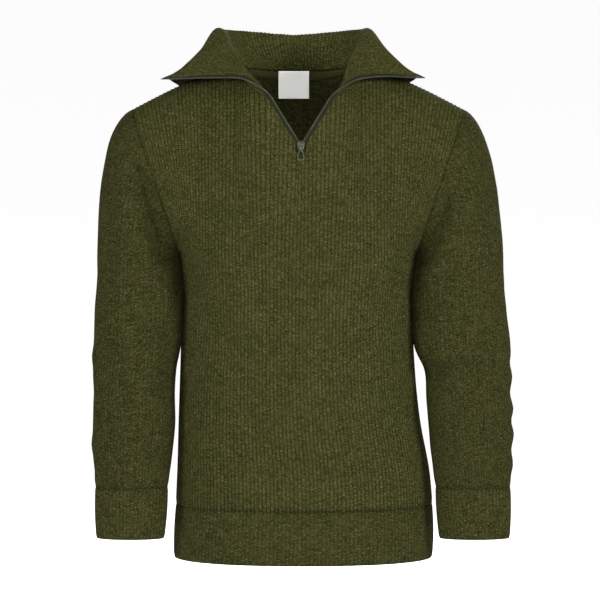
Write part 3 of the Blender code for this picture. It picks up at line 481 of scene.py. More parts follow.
def neck_directions(edge):
    """For points on the neckline: the direction across the wall that goes on into the collar."""
    along = unit(np.gradient(edge, axis=0))
    away = unit(np.cross(along, UPWARD))
    if np.dot(away[len(away) // 2], edge[len(edge) // 2] * (1.0, 1.0, 0.0)) < 0:
        away = -away
    on = unit(UPWARD * NECK_LIFT - away * NECK_LEAN)
    on = unit(on - along * np.sum(on * along, axis=1, keepdims=True))
    across = unit(np.cross(along, on))
    turned = np.sum(across * away, axis=1, keepdims=True) < 0
    return np.where(turned, -across, across)


def level(normals):
    """The same directions without their upward part."""
    return unit(normals * (1.0, 1.0, 0.0))


def ring(row, side, count):
    """A level section of a sleeve or cuff, from its inner side over the front."""
    z, inner, outer, centre_y, half_depth = row
    relief = HALF_WALL + RIB_RISE / 2
    centre = (inner + outer) / 2
    half_width = (outer - inner) / 2 - relief
    turn = np.linspace(0.0, 2 * math.pi, 721)
    x = side * (centre - half_width * np.cos(turn))
    y = centre_y - half_depth * np.sin(turn)
    return even(np.stack([x, y, np.full_like(x, z)], axis=1), count)[:-1]


def closed_normals(rows, side):
    """Normals of a tube's rows, pointing away from its axis."""
    along = (np.roll(rows, -1, axis=1) - np.roll(rows, 1, axis=1)) / 2
    up = np.gradient(rows, axis=0)
    normals = unit(np.cross(along, up))
    outermost = rows.shape[1] // 2
    if normals[-1, outermost, 0] * side < 0:
        normals = -normals
    return normals


def neck_columns(face, side):
    """The panel columns along one half of the neckline, from its front or centre outwards."""
    first = ZIP_TOP if face < 0 else 0
    return [HALF_PANEL + side * k for k in range(first, NECK_SIDE + 1)]


def neck_ring(front, back):
    """The whole neckline from the -X top of the slit round the back to the +X one."""
    pieces = [front[-1, neck_columns(-1, -1)]]
    pieces.append(back[-1, neck_columns(1, -1)][::-1][1:])
    pieces.append(back[-1, neck_columns(1, 1)][1:])
    pieces.append(front[-1, neck_columns(-1, 1)][::-1][1:])
    return np.concatenate(pieces)


def rows_through(table_rows, levels):
    """The table's rows read at other levels on a smooth curve, each as (z, ...)."""
    data = np.array(table_rows)
    order = np.argsort(data[:, 0])
    data = data[order]
    read = through(data[:, 0], data[:, 1:], levels)
    return [(z, *values) for z, values in zip(levels, read)]


def wavy(points, size, seed):
    """Slow unevenness of hand-worn cloth, from sums of waves in space."""
    total = np.zeros(points.shape[:-1])
    for k in range(6):
        angle = seed + 2.399 * k
        way = np.array((math.cos(angle), math.sin(1.7 * angle), math.sin(angle + 0.6)))
        wave = size * (0.6 + 0.25 * k)
        total += np.sin(points @ way * 2 * math.pi / wave + 1.9 * k + seed)
    return total / 6


def folds(points, normals, name, hold):
    """Large and small folds and slow unevenness along the normals, where hold lets them."""
    height = CLOTH_WAVE * wavy(points, 0.055, len(name))
    for facing, x1, z1, x2, z2, width, rise in CREASES[name] + SMALL_CREASES[name]:
        start = np.array((x1, z1))
        line = np.array((x2, z2)) - start
        flat = points[..., (0, 2)] - start
        share = np.clip(flat @ line / (line @ line), 0.0, 1.0)
        away = np.linalg.norm(flat - share[..., None] * line, axis=-1)
        seen = np.clip(normals[..., 1] * facing * CREASE_TURN, 0.0, 1.0)
        height = height + rise * np.exp(-((away / width) ** 2)) * seen
    for z, half, rise in OUTER_BULGES.get(name, ()):
        side = 1 if name.endswith("left") else -1
        seen = np.clip(normals[..., 0] * side * 1.3 - 0.1, 0.0, 1.0)
        height = height + rise * np.exp(-(((points[..., 2] - z) / half) ** 2)) * seen
    return points + normals * (height * hold)[..., None]


def run_up(points):
    """Distance along each column from its first row."""
    steps = np.linalg.norm(np.diff(points, axis=0), axis=-1)
    return np.concatenate([np.zeros((1, points.shape[1])), np.cumsum(steps, axis=0)])


def run_across(points):
    """Distance along each row from its first column."""
    steps = np.linalg.norm(np.diff(points, axis=1), axis=-1)
    return np.concatenate([np.zeros((points.shape[0], 1)), np.cumsum(steps, axis=1)], axis=1)


def edge_hold(points, closed=False):
    """0 on the grid's edges, rising to 1 a little way in."""
    up = run_up(points)
    away = np.minimum(up, up[-1] - up)
    if not closed:
        across = run_across(points)
        away = np.minimum(away, np.minimum(across, across[:, -1:] - across))
    return smooth_step(away / 0.020)


def rib_profile(columns):
    """Height of the ribs from 0 in a valley to 1 on top, and the rib coordinate."""
    rib = (np.arange(columns) + PER_RIB / 2) / PER_RIB
    return np.abs(np.sin(math.pi * rib)) ** 0.75, rib


def add_mesh(name, verts, faces, material, replaced=(), corner=None):
    """A mesh object from arrays that rides on the garment and takes over its CAD nodes."""
    mesh = bpy.data.meshes.new(name)
    mesh.from_pydata(verts, [], faces)
    if corner is not None:
        layer = mesh.attributes.new("knit", "FLOAT_VECTOR", "CORNER")
        layer.data.foreach_set("vector", np.asarray(corner, np.float32).ravel())
    mesh.update()
    mesh.polygons.foreach_set("use_smooth", np.ones(len(mesh.polygons), bool))
    made = bpy.data.objects.new(name, mesh)
    bpy.context.scene.collection.objects.link(made)
    mesh.materials.append(material)
    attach(made, "garment")
    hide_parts(*replaced)
    return made


def outward(verts, faces):
    """True if the closed mesh's faces turn outwards."""
    a, b, c, d = (verts[faces[:, k]] for k in range(4))
    first = np.einsum("ij,ij->i", a, np.cross(b, c)).sum()
    second = np.einsum("ij,ij->i", a, np.cross(c, d)).sum()
    return first + second > 0


def quads_between(here, after):
    """The four corners of each face between neighbouring rows, from a column to the one after it."""
    return np.stack([here[:-1], after[:-1], after[1:], here[1:]], axis=2)


def shell(name, mid, normals, slot, material, closed=False, ribs_outside=True, tucks=(), thin=(), rise=RISE):
    """A knitted wall round mid-wall points, ribbed on one side, closed all round.

    tucks names the edges that are seams, thin the free edges that are rounded off. The inner points come back.
    """
    rows, columns = mid.shape[:2]
    height, rib = rib_profile(columns)
    height = np.tile(height, (rows, 1))
    up = run_up(mid)
    across = run_across(mid)
    edges = {"low": up, "high": up[-1] - up, "left": across, "right": across[:, -1:] - across}
    tuck = np.zeros_like(height)
    for edge in tucks:
        tuck = np.maximum(tuck, np.exp(-((edges[edge] / TUCK_WIDTH) ** 2)))
    flat = np.ones_like(height)
    for edge in thin:
        flat = np.minimum(flat, THIN_SHARE + (1 - THIN_SHARE) * smooth_step(edges[edge] / THIN_WIDTH))
    height = height * (1 - TUCK_FLATTENS * tuck)
    lift = 1.0 if ribs_outside else -1.0
    bed = mid - normals * (lift * TUCK * tuck)[..., None]
    outer = bed + normals * (lift * (WALL_HALF + rise * height) * flat)[..., None]
    inner = bed - normals * (lift * (WALL_HALF + INNER_RISE * (1 - height)) * flat)[..., None]
    verts = np.concatenate([outer.reshape(-1, 3), inner.reshape(-1, 3)])
    count = rows * columns

    def pair(data):
        """What stands at each column and at the one after it."""
        return (data, np.roll(data, -1, axis=1)) if closed else (data[:, :-1], data[:, 1:])

    index = np.arange(count).reshape(rows, columns)
    knit = np.stack([np.tile(rib, (rows, 1)), up / COURSE, height], axis=-1)
    here, after = pair(index)
    knit_here, knit_after = pair(knit)
    knit_after = knit_after.copy()
    knit_after[..., 0] = knit_here[..., 0] + 1.0 / PER_RIB
    quads = quads_between(here, after).reshape(-1, 4)
    outside = quads_between(knit_here, knit_after).reshape(-1, 4, 3)
    inside = outside.copy()
    inside[..., 2] = INSIDE_SHADE - INSIDE_RELIEF * inside[..., 2]
    faces = [quads, quads[:, ::-1] + count]
    corners = [outside, inside[:, ::-1]]
    rims = [(here[k], after[k], knit_here[k], knit_after[k], turn) for k, turn in ((0, 1), (-1, -1))]
    if not closed:
        for k, turn in ((0, -1), (-1, 1)):
            rims.append((index[:-1, k], index[1:, k], knit[:-1, k], knit[1:, k], turn))
    for low, high, low_knit, high_knit, turn in rims:
        rim = np.stack([low + count, high + count, high, low], axis=-1)
        data = np.stack([low_knit, high_knit, high_knit, low_knit], axis=-2)
        data[..., 2] = RIM_SHADES
        faces.append(rim[:, ::turn])
        corners.append(data[:, ::turn])
    faces = np.concatenate(faces)
    corners = np.concatenate(corners)
    if not outward(verts, faces):
        faces = faces[:, ::-1]
        corners = corners[:, ::-1]
    add_mesh(name + "_knit", verts, faces, material, replaced=(name,), corner=corners)
    return inner


def turn_edge(normals, wanted):
    """Turns the normals of the first three rows towards those wanted on the edge."""
    for row in range(3):
        weight = 1 - row / 3
        normals[row] = unit(normals[row] * (1 - weight) + wanted * weight)


def panel_grid(face):
    """The front or back panel's finer mid-wall points with their normals."""
    levels = np.linspace(TORSO[0][0], TORSO[-1][0], int((TORSO[-1][0] - TORSO[0][0]) / ROW_STEP) + 1)
    rows = [torso_section(row, face) for row in rows_through(TORSO, levels)]
    base = rows[-1]
    top = top_edge(face)
    lower = len(rows) - 1
    shares = np.linspace(0.0, 1.0, UPPER_ROWS + 1)[1:]
    rows += [upper_row(base, top, share, face) for share in shares]
    points = np.array(rows)
    normals = surface_normals(points, face * BACKWARD)
    name = "front" if face < 0 else "back"
    across = run_across(points)
    away = np.minimum(across, across[:, -1:] - across)
    up = run_up(points)
    hold = smooth_step(away / 0.030) * smooth_step(up / 0.020) * smooth_step((up[-1] - up) / 0.020)
    points = folds(points, normals, name, hold)
    normals = surface_normals(points, face * BACKWARD)
    for side, edge, step in ((-1, 0, 1), (1, 2 * HALF_PANEL, -1)):
        seam = np.zeros((len(points), 3))
        seam[:lower] = (side, 0.0, 0.0)
        for k, share in enumerate([0.0, *shares]):
            seam[lower + k] = armhole_normal(side, share, face)
        for k in range(SIDE_BLEND):
            weight = 1 - smooth_step(k / SIDE_BLEND)
            column = edge + step * k
            normals[:, column] = unit(normals[:, column] * (1 - weight) + seam * weight)
        ridge = slice(HALF_PANEL - NECK_SIDE + 1) if side < 0 else slice(HALF_PANEL + NECK_SIDE, None)
        along = unit(np.gradient(points[-1, ridge], axis=0))
        over = np.cross(along, BACKWARD)
        over = unit(over * np.sign(over[:, 2:]))
        turn_edge(normals[::-1, ridge], over)
    return points, normals, lower


def fit_neckline(front, back, seam):
    """Both panels take the neckline's own directions over their last rows."""
    across = neck_directions(seam)
    front_count = NECK_SIDE - ZIP_TOP + 1
    back_count = 2 * NECK_SIDE + 1
    spans = [
        (front, neck_columns(-1, -1), 0),
        (back, neck_columns(1, -1)[::-1] + neck_columns(1, 1)[1:], front_count - 1),
        (front, neck_columns(-1, 1)[::-1], front_count + back_count - 2),
    ]
    for (_, normals, _), columns, first in spans:
        for k, column in enumerate(columns):
            turn_edge(normals[::-1, column], across[first + k])
    return across


def armhole_line(front, back, side, count):
    """Points round the armhole on the panels' edges, from the underarm over the front."""
    edge = 0 if side < 0 else -1
    lower = front[2]
    line = list(front[0][lower:, edge]) + list(back[0][lower:-1, edge][::-1])
    across = list(front[1][lower:, edge]) + list(back[1][lower:-1, edge][::-1])
    line = np.array(line)
    across = np.array(across)
    run = run_along(line)
    wanted = np.linspace(0.0, run[-1], count + 1)[:-1]
    return read_at(wanted, run, line), unit(read_at(wanted, run, across))


LEAN_MOST = 0.015
LEAN_WIDTH = 0.045  # how far round the sleeve its inner side gives way


def lean(points, front, side):
    """The sleeve's inner side leans on the body below the underarm."""
    body = front[0][: front[2] + 1, 0 if side < 0 else -1]
    away = points[..., 0] * side
    level_z = points[..., 2]
    inmost = away.min(axis=1, keepdims=True)
    room = np.clip(inmost - np.interp(level_z, body[:, 2], body[:, 0] * side) - LEAN_CLEAR, 0.0, LEAN_MOST)
    share = smooth_step(1 - (away - inmost) / LEAN_WIDTH)
    share = share * smooth_step((LEAN_TOP - level_z) / 0.016) * smooth_step((level_z - LEAN_LOW) / 0.050)
    points = points.copy()
    points[..., 0] -= side * room * share
    return points


def sleeve_grid(side, front, back):
    """A sleeve's finer mid-wall rings from the armhole to the cuff, given from the cuff up."""
    name = "right" if side < 0 else "left"
    start, start_across = armhole_line(front, back, side, SLEEVE_COLUMNS)
    levels = np.linspace(SLEEVE[name][0][0], SLEEVE[name][-1][0], SLEEVE_ROWS)
    rings = [ring(row, side, SLEEVE_COLUMNS) for row in rows_through(SLEEVE[name], levels)]
    _, _, out, _ = armhole_frame(side)
    way = np.linalg.norm(rings[0] - start, axis=1)[:, None]
    leave = out * way * CAP_START_PULL[name]
    arrive = -UPWARD * way * CAP_END_PULL
    shares = np.linspace(0.0, 1.0, HEAD_ROWS + 1)[:-1]
    head = [hermite(share, start, leave, rings[0], arrive) for share in shares]
    points = np.array(head + rings)
    hold = edge_hold(points, closed=True)
    points = lean(folds(points, closed_normals(points, side), "sleeve_" + name, hold), front, side)
    normals = closed_normals(points, side)
    turn_edge(normals, start_across)
    normals[-1] = level(normals[-1])
    return points[::-1], normals[::-1]


def cuff_grid(side):
    """A cuff's finer mid-wall rings, bowed out a little."""
    name = "right" if side < 0 else "left"
    levels = np.linspace(CUFF[name][0][0], CUFF[name][-1][0], BAND_ROWS)
    points = np.array([ring(row, side, CUFF_RIBS * PER_RIB) for row in rows_through(CUFF[name], levels)])
    points = points + closed_normals(points, side) * (CUFF_BOW * BAND_ARC)
    return points[::-1], closed_normals(points, side)[::-1]


def hem_grid(face):
    """The hem band's finer mid-wall points on one face, bowed out a little."""
    levels = np.linspace(HEM_BAND[0][0], HEM_BAND[-1][0], BAND_ROWS)
    points = np.array([torso_section(row, face) for row in rows_through(HEM_BAND, levels)])
    normals = surface_normals(points, face * BACKWARD)
    points = points + normals * (HEM_BOW * BAND_ARC)
    for side, edge in ((-1, 0), (1, -1)):
        normals[:, edge] = (side, 0.0, 0.0)
    return points[::-1], normals[::-1]


def collar_grid(seam, across):
    """The collar's finer mid-wall points, rows from the neck seam to the free edge."""
    run = run_along(seam)
    ribs = int(round(run[-1] / COLLAR_RIB / 2)) * 2
    wanted = np.linspace(0.0, run[-1], ribs * PER_RIB + 1)
    line = read_at(wanted, run, seam)
    over = unit(read_at(wanted, run, across))
    middle = run[(len(seam) - 1) // 2]
    table_rows = np.array(COLLAR_STATIONS)
    share = np.where(wanted <= middle, wanted / middle, (run[-1] - wanted) / (run[-1] - middle))
    side = np.where(wanted <= middle, 1.0, -1.0)
    near_slit = 1 - smooth_step(share / SLIT_SHARE)
    guides = [line]
    for first, follows_slit in ((1, 1.0), (4, 1.0), (7, 0.0), (10, 0.0)):
        guide = through(table_rows[:, 0], table_rows[:, first : first + 3], share)
        centre_x = COLLAR_CENTRE_X + (SLIT_CENTRE_X - COLLAR_CENTRE_X) * near_slit * follows_slit
        guide[:, 0] = guide[:, 0] * side + centre_x
        guide[:, 2] -= side * COLLAR_TILT * (1 - follows_slit)
        guides.append(guide)
    guides = np.array(guides)
    rows = []
    for column in range(len(line)):
        spine = guides[:, column]
        keys = run_along(spine)
        rows.append(even(through(keys, spine, np.linspace(0.0, keys[-1], 60)), COLLAR_ROWS))
    drawn = np.array(rows).transpose(1, 0, 2)
    points = soften(drawn, ROLL_EASE)
    crest = points[..., 2].max(axis=0)
    near_crest = np.exp(-(((crest - points[..., 2]) / ROLL_REACH) ** 2))
    points[..., 2] += (drawn[..., 2].max(axis=0) - crest + ROLL_LIFT) * near_crest
    normals = surface_normals(points, UPWARD)
    if normals[6, points.shape[1] // 2, 1] < 0:
        normals = -normals
    height = COLLAR_WAVE * wavy(points, 0.050, 3.0) * edge_hold(points)
    points = points + normals * height[..., None]
    turn_edge(normals, over)
    return points, normals


# Materials


def node_tree(name):
    made = bpy.data.materials.new(name)
    made.use_nodes = True
    tree = made.node_tree
    return made, tree, tree.nodes["Principled BSDF"]


def link(tree, source, target):
    tree.links.new(source, target)


def feed(tree, value, target):
    """Sets an input to a number or colour, or links it to another node's output."""
    if isinstance(value, tuple):
        target.default_value = (*value, 1.0)
    elif isinstance(value, (int, float)):
        target.default_value = value
    else:
        link(tree, value, target)


def math_node(tree, operation, *values):
    node = tree.nodes.new("ShaderNodeMath")
    node.operation = operation
    for k, value in enumerate(values):
        feed(tree, value, node.inputs[k])
    return node.outputs[0]


def noise(tree, coordinates, scale, detail=2.0, rough=0.5):
    node = tree.nodes.new("ShaderNodeTexNoise")
    node.inputs["Scale"].default_value = scale
    node.inputs["Detail"].default_value = detail
    node.inputs["Roughness"].default_value = rough
    link(tree, coordinates, node.inputs["Vector"])
    return node.outputs["Fac"]


def ramp(tree, value, low, high):
    """The value stretched so that low gives 0 and high gives 1."""
    node = tree.nodes.new("ShaderNodeMapRange")
    node.interpolation_type = "SMOOTHSTEP"
    node.inputs["From Min"].default_value = low
    node.inputs["From Max"].default_value = high
    link(tree, value, node.inputs["Value"])
    return node.outputs["Result"]


def blend_colour(tree, share, first, second):
    node = tree.nodes.new("ShaderNodeMix")
    node.data_type = "RGBA"
    for socket, value in ((6, first), (7, second), (0, share)):
        feed(tree, value, node.inputs[socket])
    return node.outputs[2]


def bump(tree, shader, height, distance, strength):
    node = tree.nodes.new("ShaderNodeBump")
    node.inputs["Distance"].default_value = distance
    node.inputs["Strength"].default_value = strength
    link(tree, height, node.inputs["Height"])
    link(tree, node.outputs["Normal"], shader.inputs["Normal"])


YARN = (0.0342, 0.0342, 0.0094)
YARN_LIGHT = (0.102, 0.101, 0.037)
YARN_DARK = (0.0072, 0.0082, 0.0020)
# Painted shade, laid into the valleys between ribs and the gaps between stitches
VALLEY_SHADE = (0.0026, 0.0032, 0.0009)
COURSE_STAGGER = 0.37  # how far each rib's stitches are shifted against the last one's
STITCH_SLOPE = 0.9  # how steeply a stitch's legs rise


def knit_material(name, tone=1.0, valley=1.0):
    """Wool-like yarn in rows of stitches on ribs, with lighter and darker fibres, and painted shade between
    ribs and between stitches.
    """
    made, tree, shader = node_tree(name)
    attribute = tree.nodes.new("ShaderNodeAttribute")
    attribute.attribute_name = "knit"
    parts = tree.nodes.new("ShaderNodeSeparateXYZ")
    link(tree, attribute.outputs["Vector"], parts.inputs[0])
    rib, stitch, height = parts.outputs
    place = tree.nodes.new("ShaderNodeTexCoord").outputs["Object"]
    node = partial(math_node, tree)

    # tone brightens or darkens the whole yarn colour, as painted light and painted shade
    def toned(colour, by=1.0):
        return tuple(v * by * tone for v in colour)

    # Where a point lies on its stitch: from the rib's middle, and up through the course
    cross = node("ABSOLUTE", node("SUBTRACT", node("FRACT", rib), 0.5))
    column = node("FLOOR", rib)
    phase = node("ADD", stitch, node("MULTIPLY", column, COURSE_STAGGER))
    phase = node("ADD", phase, node("MULTIPLY", cross, STITCH_SLOPE))
    phase = node("ADD", phase, node("MULTIPLY", noise(tree, place, 420.0, 3.0, 0.6), 0.35))
    cell = tree.nodes.new("ShaderNodeCombineXYZ")
    link(tree, column, cell.inputs[0])
    link(tree, node("FLOOR", phase), cell.inputs[1])
    single = tree.nodes.new("ShaderNodeTexWhiteNoise")
    single.noise_dimensions = "2D"
    link(tree, cell.outputs[0], single.inputs["Vector"])
    gap = node("ABSOLUTE", node("SUBTRACT", node("FRACT", phase), 0.5))
    gap = node("POWER", node("MULTIPLY", gap, 2.0), 2.5)
    full = node("SUBTRACT", 1.0, gap)
    legs = node("MULTIPLY", ramp(tree, cross, 0.0, 0.14), full)
    fibre = noise(tree, place, 1500.0, 2.0, 0.7)
    patch = ramp(tree, noise(tree, place, 38.0, 3.0, 0.6), 0.30, 0.70)
    colour = blend_colour(tree, patch, toned(YARN, 0.90), toned(YARN, 1.10))
    layers = (
        (ramp(tree, noise(tree, place, 520.0, 2.0, 0.75), 0.53, 0.66), 0.85, YARN_LIGHT),  # light fibres
        (ramp(tree, noise(tree, place, 430.0, 1.0, 0.6), 0.53, 0.68), 0.75, YARN_DARK),  # dark fibres
        (ramp(tree, single.outputs["Value"], 0.55, 1.0), 0.14, YARN_LIGHT),  # lighter stitches
        (ramp(tree, single.outputs["Value"], 0.45, 0.0), 0.26, YARN_DARK),  # darker stitches
        (node("SUBTRACT", 1.0, ramp(tree, height, 0.05, 0.80)), 0.90 * valley, VALLEY_SHADE),  # painted shade between ribs
        (node("SUBTRACT", 1.0, full), 0.75, VALLEY_SHADE),  # painted shade between stitches
    )
    for share, strength, tint in layers:
        colour = blend_colour(tree, node("MULTIPLY", share, strength), colour, toned(tint))
    link(tree, colour, shader.inputs["Base Color"])
    shader.inputs["Roughness"].default_value = 0.92
    shader.inputs["Specular IOR Level"].default_value = 0.02
    shader.inputs["Sheen Weight"].default_value = 0.015
    shader.inputs["Sheen Roughness"].default_value = 0.45
    shader.inputs["Sheen Tint"].default_value = (0.62, 0.62, 0.36, 1.0)
    relief = node("ADD", node("MULTIPLY", legs, 0.8), node("MULTIPLY", fibre, 0.35))
    bump(tree, shader, relief, 0.0009, 0.75)
    return made


def woven_material(name, colour, size, rough=0.75, sheen=0.1, contrast=0.35):
    """Plain weave: threads across and along, read from the piece's own coordinates."""
    made, tree, shader = node_tree(name)
    place = tree.nodes.new("ShaderNodeTexCoord").outputs["Object"]
    parts = tree.nodes.new("ShaderNodeSeparateXYZ")
    link(tree, place, parts.inputs[0])
    node = partial(math_node, tree)
    lift = 2 * math.pi / size
    a = node("SINE", node("MULTIPLY", node("ADD", parts.outputs[0], parts.outputs[1]), lift))
    b = node("SINE", node("MULTIPLY", parts.outputs[2], lift))
    weave = node("ADD", node("MULTIPLY", node("MULTIPLY", a, b), 0.5), 0.5)
    patch = noise(tree, place, 300.0, 3.0, 0.6)
    dark = tuple(v * (1 - contrast) for v in colour)
    light = tuple(min(1.0, v * (1 + 0.3 * contrast)) for v in colour)
    share = node("ADD", node("MULTIPLY", weave, 0.6), node("MULTIPLY", patch, 0.4))
    link(tree, blend_colour(tree, share, dark, light), shader.inputs["Base Color"])
    shader.inputs["Roughness"].default_value = rough
    shader.inputs["Sheen Weight"].default_value = sheen
    shader.inputs["Specular IOR Level"].default_value = 0.08
    bump(tree, shader, weave, size * 0.25, 0.5)
    return made


def shaded(colour, share):
    return tuple(v * share for v in colour)


def metal_material(name, colour, rough):
    made, tree, shader = node_tree(name)
    place = tree.nodes.new("ShaderNodeTexCoord").outputs["Object"]
    worn = noise(tree, place, 900.0, 3.0, 0.6)
    share = ramp(tree, worn, 0.35, 0.75)
    link(tree, blend_colour(tree, share, shaded(colour, 0.75), colour), shader.inputs["Base Color"])
    rougher = math_node(tree, "MULTIPLY", share, 0.15)
    link(tree, math_node(tree, "ADD", rougher, rough), shader.inputs["Roughness"])
    shader.inputs["Metallic"].default_value = 1.0
    bump(tree, shader, worn, 0.0001, 0.2)
    return made


def coil_material(name, colour):
    made, tree, shader = node_tree(name)
    place = tree.nodes.new("ShaderNodeTexCoord").outputs["Object"]
    patch = noise(tree, place, 500.0, 2.0, 0.5)
    mixed = blend_colour(tree, patch, shaded(colour, 0.8), shaded(colour, 1.2))
    link(tree, mixed, shader.inputs["Base Color"])
    shader.inputs["Roughness"].default_value = 0.38
    shader.inputs["Specular IOR Level"].default_value = 0.5
    return made


def strip(name, left, right, across, half, material, replaced=()):
    """A flat strip between two lines, with rounded edges."""
    crown = []
    for turn, size in ((0.5, 0.0), (0.25, 0.12), (0.0, 0.5), (-0.25, 0.88), (-0.5, 1.0)):
        crown.append((size, math.cos(math.pi * turn)))
    profile = crown + [(s, -h) for s, h in crown[-2:0:-1]]
    verts = []
    for a, b, n in zip(left, right, across):
        for s, h in profile:
            verts.append(a + (b - a) * s + n * half * (0.35 + 0.65 * abs(h)) * (1 if h > 0 else -1) * (h != 0))
    index = np.arange(len(verts)).reshape(-1, len(profile))
    faces = quads_between(index, np.roll(index, -1, axis=1)).reshape(-1, 4).tolist()
    faces += [index[0].tolist()[::-1], index[-1].tolist()]
    tidy_normals(add_mesh(name, verts, faces, material, replaced))


def tidy_normals(made):
    """Welds what coincides and turns all faces outwards."""
    bm = bmesh.new()
    bm.from_mesh(made.data)
    bmesh.ops.remove_doubles(bm, verts=bm.verts, dist=1e-7)
    bmesh.ops.recalc_face_normals(bm, faces=bm.faces)
    if bm.calc_volume(signed=True) < 0:
        bmesh.ops.reverse_faces(bm, faces=bm.faces)
    bm.to_mesh(made.data)
    bm.free()


def even_line(line, extra, step):
    """A line and what goes with it, read at equal steps along the line."""
    run = run_along(line)
    wanted = np.linspace(0.0, run[-1], max(2, int(run[-1] / step)) + 1)
    return [read_at(wanted, run, data) for data in (line, *extra)]


def soften(line, times):
    """The line with its corners eased, its ends left in place."""
    line = line.copy()
    for _ in range(times):
        line[1:-1] = (line[:-2] + 2 * line[1:-1] + line[2:]) / 4
    return line


TAPE_UNDER = 0.0006  # how far the tape reaches under the cloth
TAPE_UNDER_COIL = 0.0008  # and under the coil


def zip_line(side, front, collar):
    """The cloth edge beside one row of zip coil: places, across the cloth and on past it."""
    columns = [HALF_PANEL + side * k for k in range(ZIP_KNEE, ZIP_TOP + 1)]
    slit = front[0][-1, columns]
    slit_across = front[1][-1, columns]
    first = int(round(ZIP_START * (len(columns) - 1)))
    column = 0 if side < 0 else -1
    places = np.concatenate([slit[first:-2], collar[0][2:, column]])
    across = np.concatenate([slit_across[first:-2], collar[1][2:, column]])
    places, across = even_line(places, [across], 0.0030)
    places = soften(places, 6)
    across = unit(soften(unit(across), 10))
    along = unit(np.gradient(places, axis=0))
    on = unit(np.cross(along, across))
    if on[2, 0] * side > 0:
        on = -on
    return places, unit(np.cross(on, along)), on


def tape_tail(side, across):
    """The tape's end through the slider: its edge by the cloth, its coil edge and its facing."""
    place = slider_frame()
    near = np.array([place @ Vector((side * outer, up, 0.0)) for up, outer, _ in TAPE_TAIL])
    far = np.array([place @ Vector((side * inner, up, 0.0)) for up, _, inner in TAPE_TAIL])
    out = np.array(place.to_3x3() @ Vector((0.0, 0.0, 1.0)))
    facing = np.tile(out * np.sign(out @ across[0]), (len(TAPE_TAIL), 1))
    return near, far, facing


COIL_PITCH = 0.00145
COIL_STEPS = 10  # to one turn
COIL_WIDE = 0.00095  # half-width and half-height of the winding
COIL_TALL = 0.00075
WIRE_SIDES = 5
WIRE_RADIUS = 0.00036


def coil(name, line, across, on, replaced):
    """One row of coil: a monofilament wound round the tape's edge, flat on top."""
    line, across, on = even_line(line, [across, on], 0.0004)
    run = run_along(line)
    turns = int(run[-1] / COIL_PITCH)
    wanted = np.linspace(0.0, run[-1], turns * COIL_STEPS + 1)
    line, across, on = (read_at(wanted, run, data) for data in (line, across, on))
    turn = np.linspace(0.0, turns * 2 * math.pi, turns * COIL_STEPS + 1)
    wide = np.cos(turn) * COIL_WIDE
    tall = np.sin(turn) * COIL_TALL
    spine = line + on * wide[:, None] + across * tall[:, None]
    along = unit(np.gradient(spine, axis=0))
    side_way = unit(np.cross(along, unit(np.gradient(line, axis=0))))
    over = unit(np.cross(along, side_way))
    verts = []
    for k in range(WIRE_SIDES):
        a = 2 * math.pi * k / WIRE_SIDES
        verts.append(spine + WIRE_RADIUS * (math.cos(a) * side_way + math.sin(a) * over))
    verts = np.stack(verts, axis=1).reshape(-1, 3)
    index = np.arange(len(verts)).reshape(-1, WIRE_SIDES)
    faces = quads_between(index, np.roll(index, -1, axis=1)).reshape(-1, 4).tolist()
    faces += [index[0].tolist(), index[-1].tolist()]
    tidy_normals(add_mesh(name, verts, faces, COIL, replaced))


def outline_solid(bm, outline, low, high):
    """A prism on the outline between two heights, added to bm."""
    bottom = [bm.verts.new((x, y, low)) for x, y in outline]
    top = [bm.verts.new((x, y, high)) for x, y in outline]
    bm.faces.new(bottom[::-1])
    bm.faces.new(top)
    for k in range(len(outline)):
        m = (k + 1) % len(outline)
        bm.faces.new((bottom[k], bottom[m], top[m], top[k]))


def slider_frame():
    """The slider's own frame: X across, Y up the slope, Z out of the cloth."""
    tilt = math.radians(SLIDER_TILT)
    up = Vector((0.0, math.sin(tilt), math.cos(tilt)))
    out = Vector((0.0, -math.cos(tilt), math.sin(tilt)))
    centre = Vector((SLIT_CENTRE_X, SLIDER_CENTRE_Y, SLIDER_CENTRE_Z))
    turn = Matrix((Vector((1.0, 0.0, 0.0)), up, out)).transposed().to_4x4()
    return Matrix.Translation(centre) @ turn


def finish_hard(name, bm, matrix, material, body, replaced, bevel):
    """A hard piece with eased edges, its modifiers applied, in the row frame."""
    bmesh.ops.recalc_face_normals(bm, faces=bm.faces)
    mesh = bpy.data.meshes.new(name)
    bm.to_mesh(mesh)
    bm.free()
    made = bpy.data.objects.new(name, mesh)
    bpy.context.scene.collection.objects.link(made)
    modifier = made.modifiers.new("bevel", "BEVEL")
    modifier.width = bevel
    modifier.segments = 3
    modifier.limit_method = "ANGLE"
    modifier.angle_limit = math.radians(35)
    modifier.use_clamp_overlap = True
    settled = made.evaluated_get(bpy.context.evaluated_depsgraph_get())
    final = bpy.data.meshes.new_from_object(settled)
    made.modifiers.clear()
    made.data = final
    final.transform(matrix)
    for polygon in final.polygons:
        polygon.use_smooth = True
    final.materials.clear()
    final.materials.append(material)
    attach(made, body)
    if replaced:
        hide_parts(*replaced)


def slider_outline(width, length):
    """Plan of a slider plate: a rounded crown with two shoulders, narrower at the tail."""
    points = []
    for k in range(25):
        t = math.pi * k / 24
        x = math.cos(t) * width / 2
        y = length / 2 - width * 0.30 + math.sin(t) ** 0.8 * width * 0.30
        dip = 0.0006 * math.exp(-((t - math.pi / 2) / 0.35) ** 2)
        points.append((x, y - dip))
    flank = [(0.50, -0.02), (0.47, -0.18), (0.42, -0.34), (0.385, -0.46), (0.34, -0.50)]
    points += [(-x * width, y * length) for x, y in flank]
    points += [(x * width, y * length) for x, y in flank[::-1]]
    return points


RAIL = ((0.50, -0.02), (0.42, -0.02), (0.30, -0.46), (0.36, -0.48))  # in slider widths and lengths
BRIDGE_SINK = 0.0003  # how deep the bridge's feet go into the plate


